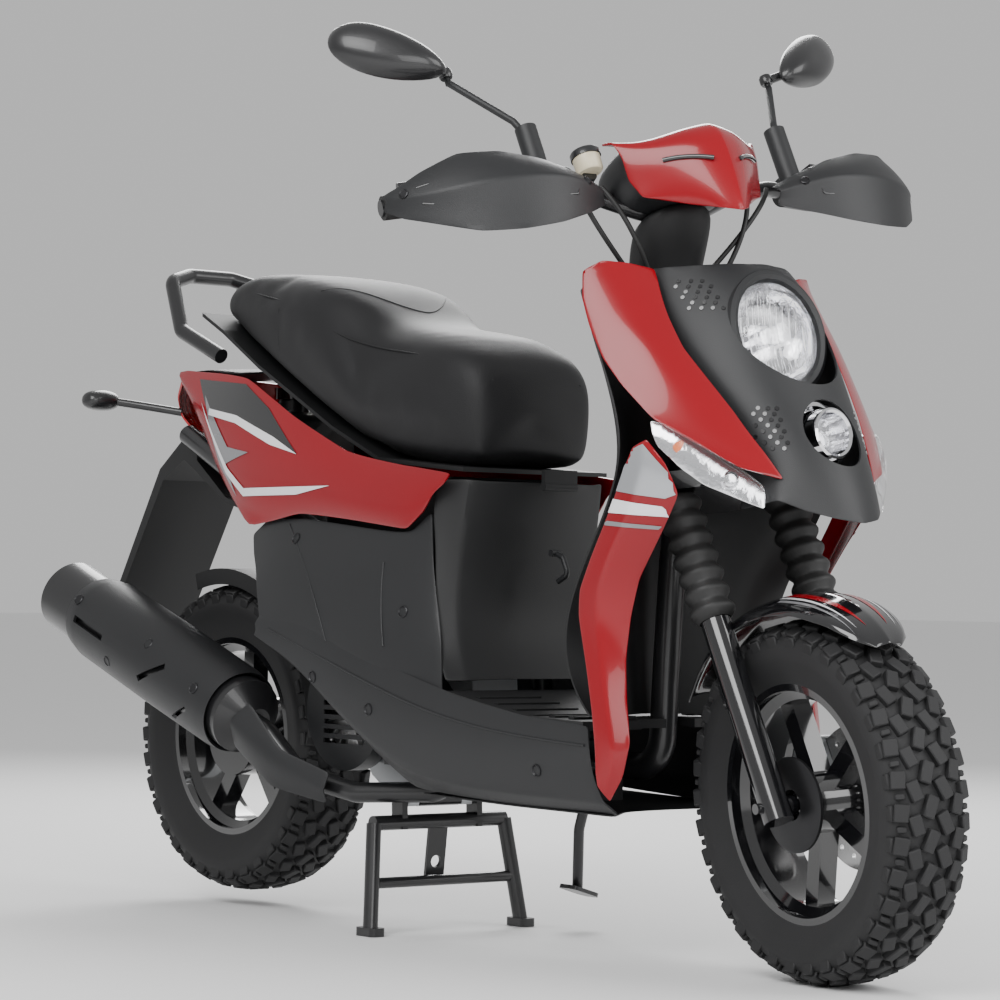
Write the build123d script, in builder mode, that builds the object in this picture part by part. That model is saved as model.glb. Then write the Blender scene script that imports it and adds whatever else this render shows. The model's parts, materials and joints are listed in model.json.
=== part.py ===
"""Small-wheeled moped scooter on its centre stand, as an assembly of separate pieces.

Side-view points are given as (distance ahead of the rear axle, height above the floor).
Steering pieces are drawn in the fork's own frame: forward of the steering axis, left of
the middle, and up along the axis from the height of the front axle.
The origin is on the floor, under the middle of the whole scooter, with +X forward.
"""
from build123d import *
from math import atan2, cos, degrees, radians, sin, sqrt, tan
import os

# ---- driving sizes, mm ----
wheelbase = 1290.0
front_tyre_r, front_tyre_w = 236.4, 120.0
rear_tyre_r, rear_tyre_w = 243.4, 130.0
rim_seat_r, rim_lip_r, rim_half_w = 152.4, 165.0, 48.0
stand_lift = 22.4            # how far the centre stand holds the rear tyre off the floor
rake = 26.0                  # steering axis from the vertical
fork_offset = 24.3           # front axle ahead of the steering axis
rest_turn = -9.5             # bars stored turned to the right
rear_axle_x = -596.0         # rear axle, measured from the origin
wall = 2.5                   # moulded panel
gap = 0.4                    # between a moving curved face and its neighbour
fit = 0.05                   # radial running clearance of a shaft

leg_half_track = 86.0        # fork legs from the middle
leg_f = 30.0                 # fork legs ahead of the steering axis
tube_r, slider_r, boot_r = 15.5, 20.0, 31.0
fork_travel = 75.0
fork_drop = 11.8             # axle below the foot of the steering axis frame
bar_r = 11.1
axle_r = 7.0

pivot_x, pivot_z = 500.0, 262.0      # engine swing pivot
crank_x, crank_z = 400.0, 325.0
clutch_x, clutch_z = 70.0, 296.0
crank_pulley_r, clutch_r = 50.0, 62.0
belt_y, belt_w, belt_t = 117.0, 20.0, 7.0
pivot_bolt_r = 8.0
crank_r, clutch_shaft_r, rear_axle_r = 15.0, 10.0, 12.0
stand_x, stand_z = 470.0, 196.0
stand_foot_x, stand_foot_y = 498.0, 141.0
shock_y, shock_pin_r, shock_slack = 98.0, 5.0, 3.0
shock_top_x, shock_top_z = 60.0, 650.0
shock_low_x, shock_low_z = -10.0, 386.0

tank_bottom_z, box_top_z = 640.0, 664.0
seat_hinge_x, seat_hinge_z = 742.0, 650.0
deck_z, belly_z, deck_half_w = 331.0, 209.0, 192.0
hook_z = 556.0
tunnel_half = 26.0            # opening in the deck for the down tube
tyre_room_x, tyre_room_half = 1004.0, 88.0     # cut-out at the front edge that clears the rising tyre
lock_y, lock_z, lock_r = 84.0, 800.0, 14.0

rear_axle_z = rear_tyre_r + stand_lift
os.makedirs("parts", exist_ok=True)


# ---- helpers ----
def at(x, y, z):
    """A point given ahead of the rear axle, left of the middle and above the floor."""
    return Vector(rear_axle_x + x, y, z)


def side(y=0.0):
    """The side view at y: +X ahead of the rear axle, +Y up; it extrudes to the right."""
    return Plane(origin=(rear_axle_x, y, 0), x_dir=(1, 0, 0), z_dir=(0, -1, 0))


def cross(x, z, y_from):
    """A plane across the scooter at a side-view point, for pieces that lie along +Y."""
    return Plane(origin=at(x, y_from, z), x_dir=(1, 0, 0), z_dir=(0, 1, 0))


foot = Vector(rear_axle_x + wheelbase - fork_offset / cos(radians(rake)), 0, front_tyre_r)
axis_up = Vector(-sin(radians(rake)), 0, cos(radians(rake)))
ahead = Vector(cos(radians(rake)), 0, sin(radians(rake)))
turned = ahead * cos(radians(rest_turn)) + Vector(0, sin(radians(rest_turn)), 0)
steer = Plane(origin=foot, x_dir=turned, z_dir=axis_up)
straight = Plane(origin=foot, x_dir=ahead, z_dir=axis_up)


def on_fork(f, y, s):
    """A point in the fork's frame, as a point in space."""
    return steer.from_local_coords(Vector(f, y, s))


def fork_plane(f, y, s, normal, across=(1, 0, 0)):
    """A sketch plane at a point of the fork's frame, with its normal in that frame."""
    lift = on_fork(*normal) - on_fork(0, 0, 0)
    run = on_fork(*across) - on_fork(0, 0, 0)
    return Plane(origin=on_fork(f, y, s), x_dir=run, z_dir=lift)


def skin(rows, thickness, place=at):
    """Adds a panel of even thickness through rows of points."""
    face = Face.make_surface_from_array_of_points([[place(*p) for p in row] for row in rows])
    thicken(face, amount=thickness)


def pipe(points, radius, bend, hole=0.0):
    """Adds a round tube along straight runs joined by arcs."""
    with BuildLine() as route:
        if len(points) > 2:
            FilletPolyline(*points, radius=bend)
        else:
            Line(*points)
    start = Plane(origin=route.line @ 0, z_dir=route.line % 0)
    with BuildSketch(start) as ring:
        Circle(radius)
        if hole:
            Circle(hole, mode=Mode.SUBTRACT)
    sweep(ring.sketch, path=route.line)


def rod(a, b, radius, mode=Mode.ADD):
    """Adds or cuts a straight round bar from a to b."""
    with BuildSketch(Plane(origin=a, z_dir=b - a)) as end:
        Circle(radius)
    extrude(end.sketch, amount=(b - a).length, mode=mode)


def save(piece, node):
    """Labels a finished piece and writes its STEP file."""
    piece.part.label = node
    export_step(piece.part, f"parts/{node}.step")


# ---- wheels ----
def wheel_plane(centre, across, up):
    return Plane(origin=centre, x_dir=across, z_dir=across.cross(up))


def make_tyre(centre, across, up, r, width):
    """A tubeless tyre with an open inside, seated just off the rim."""
    half = width / 2
    bead_y, bead_r = rim_half_w - 9, rim_seat_r + 0.2
    outline = [(-bead_y, bead_r), (-bead_y - 8, bead_r), (-bead_y - 8, rim_lip_r + 2),
               (-half, r - 46), (-half + 1, r - 30), (-half + 9, r - 13), (-half + 26, r - 3.5),
               (0, r), (half - 26, r - 3.5), (half - 9, r - 13), (half - 1, r - 30),
               (half, r - 46), (bead_y + 8, rim_lip_r + 2), (bead_y + 8, bead_r),
               (bead_y, bead_r), (bead_y, rim_lip_r), (half - 8, r - 44), (half - 10, r - 28),
               (half - 28, r - 14), (0, r - 11), (-half + 28, r - 14), (-half + 10, r - 28),
               (-half + 8, r - 44), (-bead_y, rim_lip_r)]
    with BuildSketch(wheel_plane(centre, across, up)) as section:
        with BuildLine():
            Polyline(*outline, close=True)
        make_face()
    revolve(section.sketch, axis=Axis(origin=centre, direction=across))


def make_rim(centre, across, up, hub_r, hub_half, bore):
    """A cast wheel: well with two lips, five spokes and a hub with its bore."""
    lip, seat, well = rim_lip_r, rim_seat_r, rim_seat_r - 12
    w = rim_half_w
    outline = [(-w, lip), (-w + 0.8, lip), (-w + 0.8, seat), (-w + 17, seat), (-w + 24, well),
               (w - 24, well), (w - 17, seat), (w - 0.8, seat), (w - 0.8, lip), (w, lip),
               (w, seat - 6), (w - 14, seat - 6), (w - 22, well - 6), (-w + 22, well - 6),
               (-w + 14, seat - 6), (-w, seat - 6)]
    with BuildSketch(wheel_plane(centre, across, up)) as section:
        with BuildLine():
            Polyline(*outline, close=True)
        make_face()
        with Locations((0, hub_r / 2)):
            Rectangle(2 * hub_half, hub_r)
    revolve(section.sketch, axis=Axis(origin=centre, direction=across))
    middle = Plane(origin=centre - across * 14, x_dir=up.cross(across), z_dir=across)
    with BuildSketch(middle) as spokes:
        with PolarLocations(0, 5, start_angle=90):
            with Locations((well / 2, 0)):
                Rectangle(well - 4, 26)
    extrude(spokes.sketch, amount=28)
    rod(centre - across * 90, centre + across * 90, bore, Mode.SUBTRACT)


side_y = Vector(0, 1, 0)
steer_y = on_fork(0, 1, 0) - on_fork(0, 0, 0)
front_axle = on_fork(fork_offset, 0, -fork_drop)
rear_axle = at(0, 0, rear_axle_z)

with BuildPart() as front_tyre:
    make_tyre(front_axle, steer_y, axis_up, front_tyre_r, front_tyre_w)
save(front_tyre, "front_tyre")

front_hub_half = 44.0
with BuildPart() as front_rim:
    make_rim(front_axle, steer_y, axis_up, 40, front_hub_half, axle_r + fit)
save(front_rim, "front_rim")

disc_y, disc_r, disc_t = 50.0, 95.0, 4.0
with BuildPart() as brake_disc:
    with BuildSketch(Plane(origin=front_axle + steer_y * disc_y, z_dir=steer_y)):
        Circle(disc_r)
        Circle(34, mode=Mode.SUBTRACT)
        with PolarLocations(78, 18):
            Circle(4, mode=Mode.SUBTRACT)
    extrude(amount=disc_t)
    with BuildSketch(Plane(origin=front_axle + steer_y * (front_hub_half + 0.2), z_dir=steer_y)):
        Circle(38)
        Circle(22, mode=Mode.SUBTRACT)
    extrude(amount=disc_y - front_hub_half - 0.2)
save(brake_disc, "brake_disc")

with BuildPart() as rear_tyre:
    make_tyre(rear_axle, side_y, Vector(0, 0, 1), rear_tyre_r, rear_tyre_w)
save(rear_tyre, "rear_tyre")

gear_case_y = 78.0
with BuildPart() as rear_rim:
    make_rim(rear_axle, side_y, Vector(0, 0, 1), 62, 46, 5)
    rod(rear_axle - side_y * 60, rear_axle + side_y * (gear_case_y + 20), rear_axle_r)
save(rear_rim, "rear_rim")

# ---- fork, sliding part ----
slider_top, slider_low, bore_low = 248.0, -34.0, 8.0
with BuildPart() as fork_legs:
    for hand in (-1, 1):
        y = hand * leg_half_track
        rod(on_fork(leg_f, y, slider_low), on_fork(leg_f, y, slider_top), slider_r)
        rod(on_fork(leg_f, y, bore_low), on_fork(leg_f, y, slider_top + 1), tube_r + fit, Mode.SUBTRACT)
        with BuildSketch(fork_plane(leg_f - 16, y - 11, 150, (0, 1, 0))):
            Rectangle(16, 34)
        extrude(amount=22)
        rod(on_fork(leg_f, y, bore_low), on_fork(leg_f, y, slider_top + 1), tube_r + fit, Mode.SUBTRACT)
    axle_reach = leg_half_track + slider_r + 6
    rod(on_fork(fork_offset, -axle_reach, -fork_drop), on_fork(fork_offset, axle_reach, -fork_drop), axle_r)
    for hand in (-1, 1):
        spacer_in, spacer_out = hand * (front_hub_half + 8), hand * (leg_half_track - slider_r + 4)
        rod(on_fork(fork_offset, spacer_in, -fork_drop), on_fork(fork_offset, spacer_out, -fork_drop), 13)
    with BuildSketch(fork_plane(leg_f - 40, leg_half_track - 12, 62, (0, 1, 0))):
        Rectangle(52, 44)
        with Locations((-17, 13), (-17, -13)):
            Circle(4.2, mode=Mode.SUBTRACT)
    extrude(amount=10)
    for hand in (-1, 1):
        y = hand * leg_half_track
        rod(on_fork(leg_f, y, bore_low), on_fork(leg_f, y, slider_top + 1), tube_r + fit, Mode.SUBTRACT)
save(fork_legs, "fork_legs")

fender_r, fender_half = front_tyre_r + 24, 73.0
with BuildPart() as front_fender:
    arc = [(0, fender_r + 8), (fender_half * 0.55, fender_r + 5), (fender_half, fender_r - 14),
           (fender_half, fender_r - 26), (fender_half - wall, fender_r - 26),
           (fender_half - wall, fender_r - 15), (fender_half * 0.52, fender_r + 2.2), (0, fender_r + 5)]
    lower = [(-y, r) for y, r in reversed(arc)]
    start = axis_up.rotate(Axis((0, 0, 0), steer_y), 62)
    with BuildSketch(wheel_plane(front_axle, steer_y, start)):
        with BuildLine():
            Polyline(*arc[:-1], arc[-1], *lower[1:-1], close=True)
        make_face()
    revolve(axis=Axis(origin=front_axle, direction=steer_y * -1), revolution_arc=105)
    for hand in (-1, 1):
        y = hand * leg_half_track
        rod(on_fork(leg_f, y, 100), on_fork(leg_f, y, 420), boot_r + 3, Mode.SUBTRACT)
    for hand in (-1, 1):
        inner = leg_half_track - slider_r - 4.4
        with BuildSketch(fork_plane(leg_f - 34, min(hand * inner, hand * (inner + 4)), 208, (0, 1, 0))):
            Rectangle(69, 76)
        extrude(amount=4)
save(front_fender, "front_fender")

caliper_f, caliper_s = leg_f - 62, 62.0
with BuildPart() as brake_caliper:
    with BuildSketch(fork_plane(caliper_f, disc_y - 14, caliper_s, (0, 1, 0))):
        RectangleRounded(62, 58, 12)
    extrude(amount=disc_t + 21)
    with BuildSketch(fork_plane(fork_offset, disc_y - 0.6, -fork_drop, (0, 1, 0))):
        Circle(disc_r + 3)
    extrude(amount=disc_t + 1.2, mode=Mode.SUBTRACT)
    with Locations(fork_plane(caliper_f + 6, disc_y + disc_t + 7, caliper_s + 13, (0, 1, 0))):
        Cylinder(4, 12.6, align=(Align.CENTER, Align.CENTER, Align.MIN))
save(brake_caliper, "brake_caliper")

# ---- steering head and fork tubes ----
head_low, head_top, stem_r, head_r = 470.0, 655.0, 13.0, 24.0
yoke_s, yoke_t = 428.0, 26.0
with BuildPart() as fork_yoke:
    rod(on_fork(0, 0, yoke_s), on_fork(0, 0, 716), stem_r)
    with BuildSketch(fork_plane(0, 0, yoke_s, (0, 0, 1))):
        with BuildLine():
            Polyline((-26, -34), (-26, 34), (6, 118), (58, 118), (64, 60), (30, 0), (64, -60),
                     (58, -118), (6, -118), close=True)
        make_face()
    extrude(amount=yoke_t)
    for hand in (-1, 1):
        rod(on_fork(leg_f, hand * leg_half_track, 92), on_fork(leg_f, hand * leg_half_track, yoke_s), tube_r)
    rod(on_fork(0, 0, head_top + 2), on_fork(0, 0, head_top + 20), 20)
    rod(on_fork(0, 0, head_low - 14), on_fork(0, 0, head_low - 2), 22)
save(fork_yoke, "fork_yoke")

boot_low, boot_top, boot_rings = slider_top + 0.5, yoke_s - 0.5, 7
with BuildPart() as fork_boots:
    pitch = (boot_top - boot_low) / boot_rings
    for hand in (-1, 1):
        with BuildSketch(fork_plane(leg_f, hand * leg_half_track, 0, (0, 1, 0))) as folds:
            with BuildLine():
                ridge = []
                for ring in range(boot_rings):
                    ridge += [(boot_r - 7, -(boot_low + ring * pitch)),
                              (boot_r, -(boot_low + (ring + 0.5) * pitch))]
                ridge += [(boot_r - 7, -boot_top)]
                Polyline(*ridge, (tube_r + 2, -boot_top), (tube_r + 2, -boot_low), close=True)
            make_face()
        revolve(folds.sketch, axis=Axis(origin=on_fork(leg_f, hand * leg_half_track, 0), direction=axis_up))
save(fork_boots, "fork_boots")

# ---- bars ----
bar_mid, bar_knee, bar_grip, bar_end = (96, 0, 826), (92, 120, 858), (80, 190, 874), (34, 408, 872)
with BuildPart() as handlebar:
    left = [on_fork(f, y, s) for f, y, s in (bar_mid, (96, 46, 826), bar_knee, bar_grip, bar_end)]
    right = [on_fork(f, -y, s) for f, y, s in (bar_mid, (96, 46, 826), bar_knee, bar_grip, bar_end)]
    pipe(list(reversed(right))[:-1] + left[1:], bar_r, 40)
    rod(on_fork(0, 0, 704), on_fork(0, 0, 752), 21)
    rod(on_fork(0, 0, 690), on_fork(0, 0, 716.4), stem_r + 0.1, Mode.SUBTRACT)
    pipe([on_fork(0, 0, 744), on_fork(34, 0, 778), on_fork(94, 0, 822)], 15, 30)
save(handlebar, "handlebar")


def along_grip(hand, share, lift=0.0):
    """A point on the grip's centre line, from its inner end (0) to its outer end (1)."""
    f, y, s = [a + (b - a) * share for a, b in zip(bar_grip, bar_end)]
    return on_fork(f, hand * y, s + lift)


grip_r = 16.5
with BuildPart() as throttle_grip:
    rod(along_grip(-1, 0.42), along_grip(-1, 0.985), grip_r)
    rod(along_grip(-1, 0.40), along_grip(-1, 0.42), grip_r + 5)
    rod(along_grip(-1, 0.30), along_grip(-1, 1.02), bar_r + fit, Mode.SUBTRACT)
save(throttle_grip, "throttle_grip")

start_low = along_grip(-1, 0.24) + (on_fork(-21.0, 0, 6) - on_fork(0, 0, 0))
start_way, start_r, start_gap = on_fork(-1, 0, 0) - on_fork(0, 0, 0), 5.0, 0.4
mirror_base = (118, 204, 884)
mirror_knee = (118, 204, 946)
mirror_ball = (64, 266, 1052)
mirror_pin_r, mirror_gap = 4.0, 0.4
with BuildPart() as bar_controls:
    rod(along_grip(1, 0.42), along_grip(1, 0.985), grip_r)
    rod(along_grip(1, 0.40), along_grip(1, 0.42), grip_r + 5)
    for hand in (-1, 1):
        rod(along_grip(hand, 0.14), along_grip(hand, 0.375), 22)
    for hand in (-1, 1):
        rod(on_fork(mirror_base[0], hand * 204, 852), on_fork(mirror_base[0], hand * 204, 946), 15)
        pipe([on_fork(f, hand * y, s) for f, y, s in ((118, 204, 930), (110, 214, 962), mirror_ball)], 5, 12)
        rod(on_fork(mirror_ball[0], hand * mirror_ball[1], mirror_ball[2] - 4),
            on_fork(mirror_ball[0], hand * mirror_ball[1], mirror_ball[2] + 22), mirror_pin_r)
    for hand in (-1, 1):
        low = along_grip(hand, 0.26) + (on_fork(46, 0, 0) - on_fork(0, 0, 0))
        rod(low - axis_up * 12, low + axis_up * 12, 3.9)
        rod(low - axis_up * 17, on_fork(mirror_base[0], hand * 204, 858), 7)
        with BuildSketch(Plane(origin=low - axis_up * 13, z_dir=axis_up)):
            Rectangle(24, 22)
        extrude(amount=4)
        with BuildSketch(Plane(origin=low + axis_up * 9, z_dir=axis_up)):
            Rectangle(24, 22)
        extrude(amount=4)
        middle = along_grip(hand, 0.26)
        rod(middle + (low - middle) * 0.42 - axis_up * 13, middle + (low - middle) * 0.42 + axis_up * 13, 9)
        rod(middle + (low - middle) * 0.66 - axis_up * 13, middle + (low - middle) * 0.66 - axis_up * 9, 9)
        rod(middle + (low - middle) * 0.66 + axis_up * 9, middle + (low - middle) * 0.66 + axis_up * 13, 9)
    rod(along_grip(1, -0.1), along_grip(1, 1.02), bar_r + 0.1, Mode.SUBTRACT)
    rod(along_grip(-1, -0.1), along_grip(-1, 0.40), bar_r + 0.1, Mode.SUBTRACT)
    rod(start_low - start_way * 4.2, start_low + start_way * 10, start_r + start_gap, Mode.SUBTRACT)
save(bar_controls, "bar_controls")

with BuildPart() as start_button:
    rod(start_low - start_way * 0.8, start_low + start_way * 9.2, start_r)
save(start_button, "start_button")

for hand, node in ((-1, "brake_lever_right"), (1, "brake_lever_left")):
    with BuildPart() as lever:
        hub = along_grip(hand, 0.26) + (on_fork(46, 0, 0) - on_fork(0, 0, 0))
        rod(hub - axis_up * 8.4, hub + axis_up * 8.4, 9)
        tip = along_grip(hand, 1.0) + (on_fork(54, 0, 0) - on_fork(0, 0, 0))
        third = along_grip(hand, 0.5) + (on_fork(60, 0, 0) - on_fork(0, 0, 0))
        pipe([hub, third, tip], 6.0, 60)
        rod(hub - axis_up * 10, hub + axis_up * 10, 3.9 + fit, Mode.SUBTRACT)
    save(lever, node)

with BuildPart() as master_cylinder:
    rod(on_fork(140, -178, 872), on_fork(132, -118, 872), 11)
    rod(on_fork(134, -144, 878), on_fork(134, -144, 900), 22)
    rod(on_fork(134, -144, 900.3), on_fork(134, -144, 908), 24)
save(master_cylinder, "master_cylinder")

for hand, node in ((-1, "mirror_head_right"), (1, "mirror_head_left")):
    with BuildPart() as mirror_head:
        outward = on_fork(-38, hand * 122, 70) - on_fork(0, 0, 0)
        forward = (on_fork(0.77, hand * 0.63, 0) - on_fork(0, 0, 0)).normalized()
        back = Plane(origin=on_fork(67, hand * 341, 1092), x_dir=outward, z_dir=forward)
        with BuildSketch(back) as glass_end:
            Ellipse(84, 44)
        with BuildSketch(back.offset(26)) as cap_end:
            Ellipse(64, 27)
        loft([glass_end.sketch.face(), cap_end.sketch.face()])
        ball_f, ball_y, ball_s = mirror_ball[0], hand * mirror_ball[1], mirror_ball[2]
        rod(on_fork(ball_f, ball_y, ball_s + 6), on_fork(ball_f, ball_y, ball_s + 20), 9)
        rod(on_fork(ball_f, ball_y, ball_s + 14), on_fork(84, hand * 308, 1073), 6)
        rod(on_fork(ball_f, ball_y, ball_s), on_fork(ball_f, ball_y, ball_s + 24), mirror_pin_r + mirror_gap,
            Mode.SUBTRACT)
    save(mirror_head, node)

with BuildPart() as handguards:
    for hand in (-1, 1):
        rows = []
        for f, y, low, high in ((152, 141, 808, 832), (186, 205, 778, 858), (184, 280, 768, 886),
                                (160, 345, 772, 890), (112, 400, 806, 872), (72, 428, 848, 868)):
            rows.append([(f - 6, hand * y, low), (f + 4, hand * y, (low + high) / 2), (f - 4, hand * y, high)])
        skin(rows, 3 * -hand, on_fork)
        rod(along_grip(hand, 1.005), along_grip(hand, 1.05), 12)
        rod(along_grip(hand, 1.045), on_fork(74, hand * 426, 856), 7)
save(handguards, "handguards")

with BuildPart() as bar_covers:
    rows = []
    for s, f, half in ((886, 226, 60), (850, 246, 116), (800, 250, 104), (762, 252, 44), (738, 253, 12)):
        rows.append([(f - 76 * half / 116, -half, s), (f - 16, -half * 0.55, s + 6), (f, 0, s + 4),
                     (f - 16, half * 0.55, s + 6), (f - 76 * half / 116, half, s)])
    skin(rows, -3, on_fork)
    with BuildSketch(fork_plane(112, 0, 864, (0, 0, 1))):
        RectangleRounded(180, 164, 20)
    extrude(amount=30, taper=12)
save(bar_covers, "bar_covers")

# ---- frame ----
spine_r, rail_y, rail_z = 16.0, 62.0, 262.0
head_mid = straight.from_local_coords(Vector(0, 0, (head_low + head_top) / 2))
with BuildPart() as frame_tubes:
    low_end, top_end = straight.from_local_coords(Vector(0, 0, head_low)), straight.from_local_coords(Vector(0, 0, head_top))
    rod(low_end, top_end, head_r)
    pipe([at(1006, 0, 710), at(984, 0, 540), at(974, 0, 400), at(966, 0, rail_z), at(868, 0, rail_z)], 19, 50)
    with BuildSketch(cross(868, rail_z, -rail_y - 10)) as beam:
        Circle(14)
    extrude(beam.sketch, amount=2 * rail_y + 20)
    for hand in (-1, 1):
        pipe([at(868, hand * rail_y, rail_z), at(650, hand * rail_y, rail_z), at(560, hand * 118, 420),
              at(400, hand * 126, 560), at(180, hand * 118, 640), at(-60, hand * 96, 742)], spine_r, 60)
        with BuildSketch(side(hand * 104 + 4)) as ear:
            with BuildLine():
                Polyline((pivot_x - 18, pivot_z - 16), (pivot_x + 16, pivot_z - 16), (640, 250), (640, 276),
                         (560, 420), (548, 420), (pivot_x + 12, pivot_z + 28), (pivot_x - 18, pivot_z + 10), close=True)
            make_face()
        extrude(ear.sketch, amount=8)
    for x, z, half in ((655, rail_z, rail_y), (180, 640, 118), (-40, 733, 98)):
        with BuildSketch(cross(x, z, -half)) as beam:
            Circle(11)
        extrude(beam.sketch, amount=2 * half)
    rod(at(pivot_x, -108, pivot_z), at(pivot_x, 108, pivot_z), pivot_bolt_r)
    rod(at(shock_top_x, shock_y - 16, shock_top_z), at(shock_top_x, shock_y + 20, shock_top_z), shock_pin_r)
    with BuildSketch(side(shock_y + 19)) as tab:
        with Locations((shock_top_x, shock_top_z + 16)):
            Rectangle(28, 56)
    extrude(tab.sketch, amount=4)
    rod(low_end, top_end, stem_r + fit, Mode.SUBTRACT)
    with BuildSketch(side(150)) as lug:
        with Locations((640, 240)):
            Circle(12)
    extrude(lug.sketch, amount=20)
    rod(at(640, 130, 240), at(640, 70, 262), 8)
    rod(at(640, 131, 240), at(640, 155, 240), 5 + fit, Mode.SUBTRACT)
save(frame_tubes, "frame_tubes")

# ---- engine ----
arm_in, arm_out, cover_out = gear_case_y, 100.0, 140.0
with BuildPart() as engine_case:
    with BuildSketch(cross(crank_x, crank_z, -62)) as drum:
        Circle(80)
    extrude(drum.sketch, amount=arm_out + 62)
    with BuildSketch(side(arm_out)) as arm:
        with BuildLine():
            Polyline((crank_x, crank_z - 78), (0, rear_axle_z - 62), (-55, rear_axle_z - 20),
                     (-40, 330), (0, 362), (clutch_x, clutch_z + 74), (crank_x, crank_z + 72), close=True)
        make_face()
        fillet(arm.vertices(), 12)
    extrude(arm.sketch, amount=arm_out - arm_in)
    with BuildSketch(side(arm_in + 10)) as lug:
        with BuildLine():
            Polyline((-30, 320), (30, 330), (shock_low_x + 14, shock_low_z + 12),
                     (shock_low_x - 14, shock_low_z + 12), close=True)
        make_face()
    extrude(lug.sketch, amount=10)
    rod(at(shock_low_x, arm_in, shock_low_z), at(shock_low_x, 114, shock_low_z), shock_pin_r)
    for y in (-92.0, 76.0):
        with BuildSketch(side(y + 14)) as lug:
            with BuildLine():
                Polyline((crank_x, crank_z - 70), (crank_x + 70, crank_z - 30), (pivot_x + 20, pivot_z + 6),
                         (pivot_x + 14, pivot_z - 16), (pivot_x - 24, pivot_z - 18), close=True)
            make_face()
        extrude(lug.sketch, amount=14)
    rod(at(crank_x + 20, -92, crank_z - 40), at(crank_x + 20, -50, crank_z - 40), 24)
    with BuildSketch(side(60)) as sump:
        with BuildLine():
            Polyline((crank_x - 40, crank_z - 60), (crank_x + 70, crank_z - 50), (stand_x + 14, stand_z + 8),
                     (stand_x + 8, stand_z - 13), (stand_x - 12, stand_z - 13), (crank_x - 10, 225), close=True)
        make_face()
    extrude(sump.sketch, amount=120)
    with BuildSketch(side(40)) as room:
        with BuildLine():
            Polyline((stand_x - 40, stand_z - 30), (stand_x + 30, stand_z - 30), (stand_x + 30, stand_z + 26),
                     (stand_x - 40, stand_z + 26), close=True)
        make_face()
    extrude(room.sketch, amount=80, mode=Mode.SUBTRACT)
    rod(at(pivot_x, -120, pivot_z), at(pivot_x, 120, pivot_z), pivot_bolt_r + fit, Mode.SUBTRACT)
    rod(at(stand_x, -80, stand_z), at(stand_x, 80, stand_z), 8 + fit, Mode.SUBTRACT)
    rod(at(crank_x, -70, crank_z), at(crank_x, 110, crank_z), crank_r + fit, Mode.SUBTRACT)
    rod(at(crank_x, -44, crank_z), at(crank_x, 44, crank_z), 56, Mode.SUBTRACT)
    rod(at(clutch_x, arm_in - 5, clutch_z), at(clutch_x, arm_out + 5, clutch_z), clutch_shaft_r + fit, Mode.SUBTRACT)
    rod(at(0, 60, rear_axle_z), at(0, 120, rear_axle_z), rear_axle_r + fit, Mode.SUBTRACT)
save(engine_case, "engine_case")

with BuildPart() as crankshaft:
    rod(at(crank_x, -104, crank_z), at(crank_x, belt_y + 14, crank_z), crank_r)
    rod(at(crank_x, -40, crank_z), at(crank_x, -16, crank_z), 50)
    rod(at(crank_x, 16, crank_z), at(crank_x, 40, crank_z), 50)
    rod(at(crank_x, -104, crank_z), at(crank_x, -98, crank_z), 72)
    with BuildSketch(cross(crank_x, crank_z, -112)) as vanes:
        with PolarLocations(0, 16):
            with Locations((54, 0)):
                Rectangle(30, 3)
    extrude(vanes.sketch, amount=10)
    for y in (belt_y - belt_w / 2 - 4, belt_y + belt_w / 2):
        rod(at(crank_x, y, crank_z), at(crank_x, y + 4, crank_z), crank_pulley_r)
save(crankshaft, "crankshaft")

with BuildPart() as clutch_pulley:
    rod(at(clutch_x, arm_in + 1, clutch_z), at(clutch_x, belt_y + 14, clutch_z), clutch_shaft_r)
    for y in (belt_y - belt_w / 2 - 4, belt_y + belt_w / 2):
        rod(at(clutch_x, y, clutch_z), at(clutch_x, y + 4, clutch_z), clutch_r)
save(clutch_pulley, "clutch_pulley")

belt_drive_r, belt_clutch_r = 36.0, 48.0
with BuildPart() as drive_belt:
    centre_gap = sqrt((crank_x - clutch_x) ** 2 + (crank_z - clutch_z) ** 2)
    tilt = degrees(atan2(crank_z - clutch_z, crank_x - clutch_x))
    belt_plane = Plane(origin=at(clutch_x, belt_y - belt_w / 2 + gap, clutch_z),
                       x_dir=Vector(cos(radians(tilt)), 0, sin(radians(tilt))), z_dir=(0, 1, 0))
    with BuildSketch(belt_plane):
        for grow, mode in ((belt_t, Mode.ADD), (0.0, Mode.SUBTRACT)):
            with BuildSketch(mode=Mode.PRIVATE) as loop:
                Circle(belt_clutch_r + grow)
                with Locations((centre_gap, 0)):
                    Circle(belt_drive_r + grow)
                make_hull()
            add(loop.sketch, mode=mode)
    extrude(amount=belt_w - 2 * gap)
save(drive_belt, "drive_belt")

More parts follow.
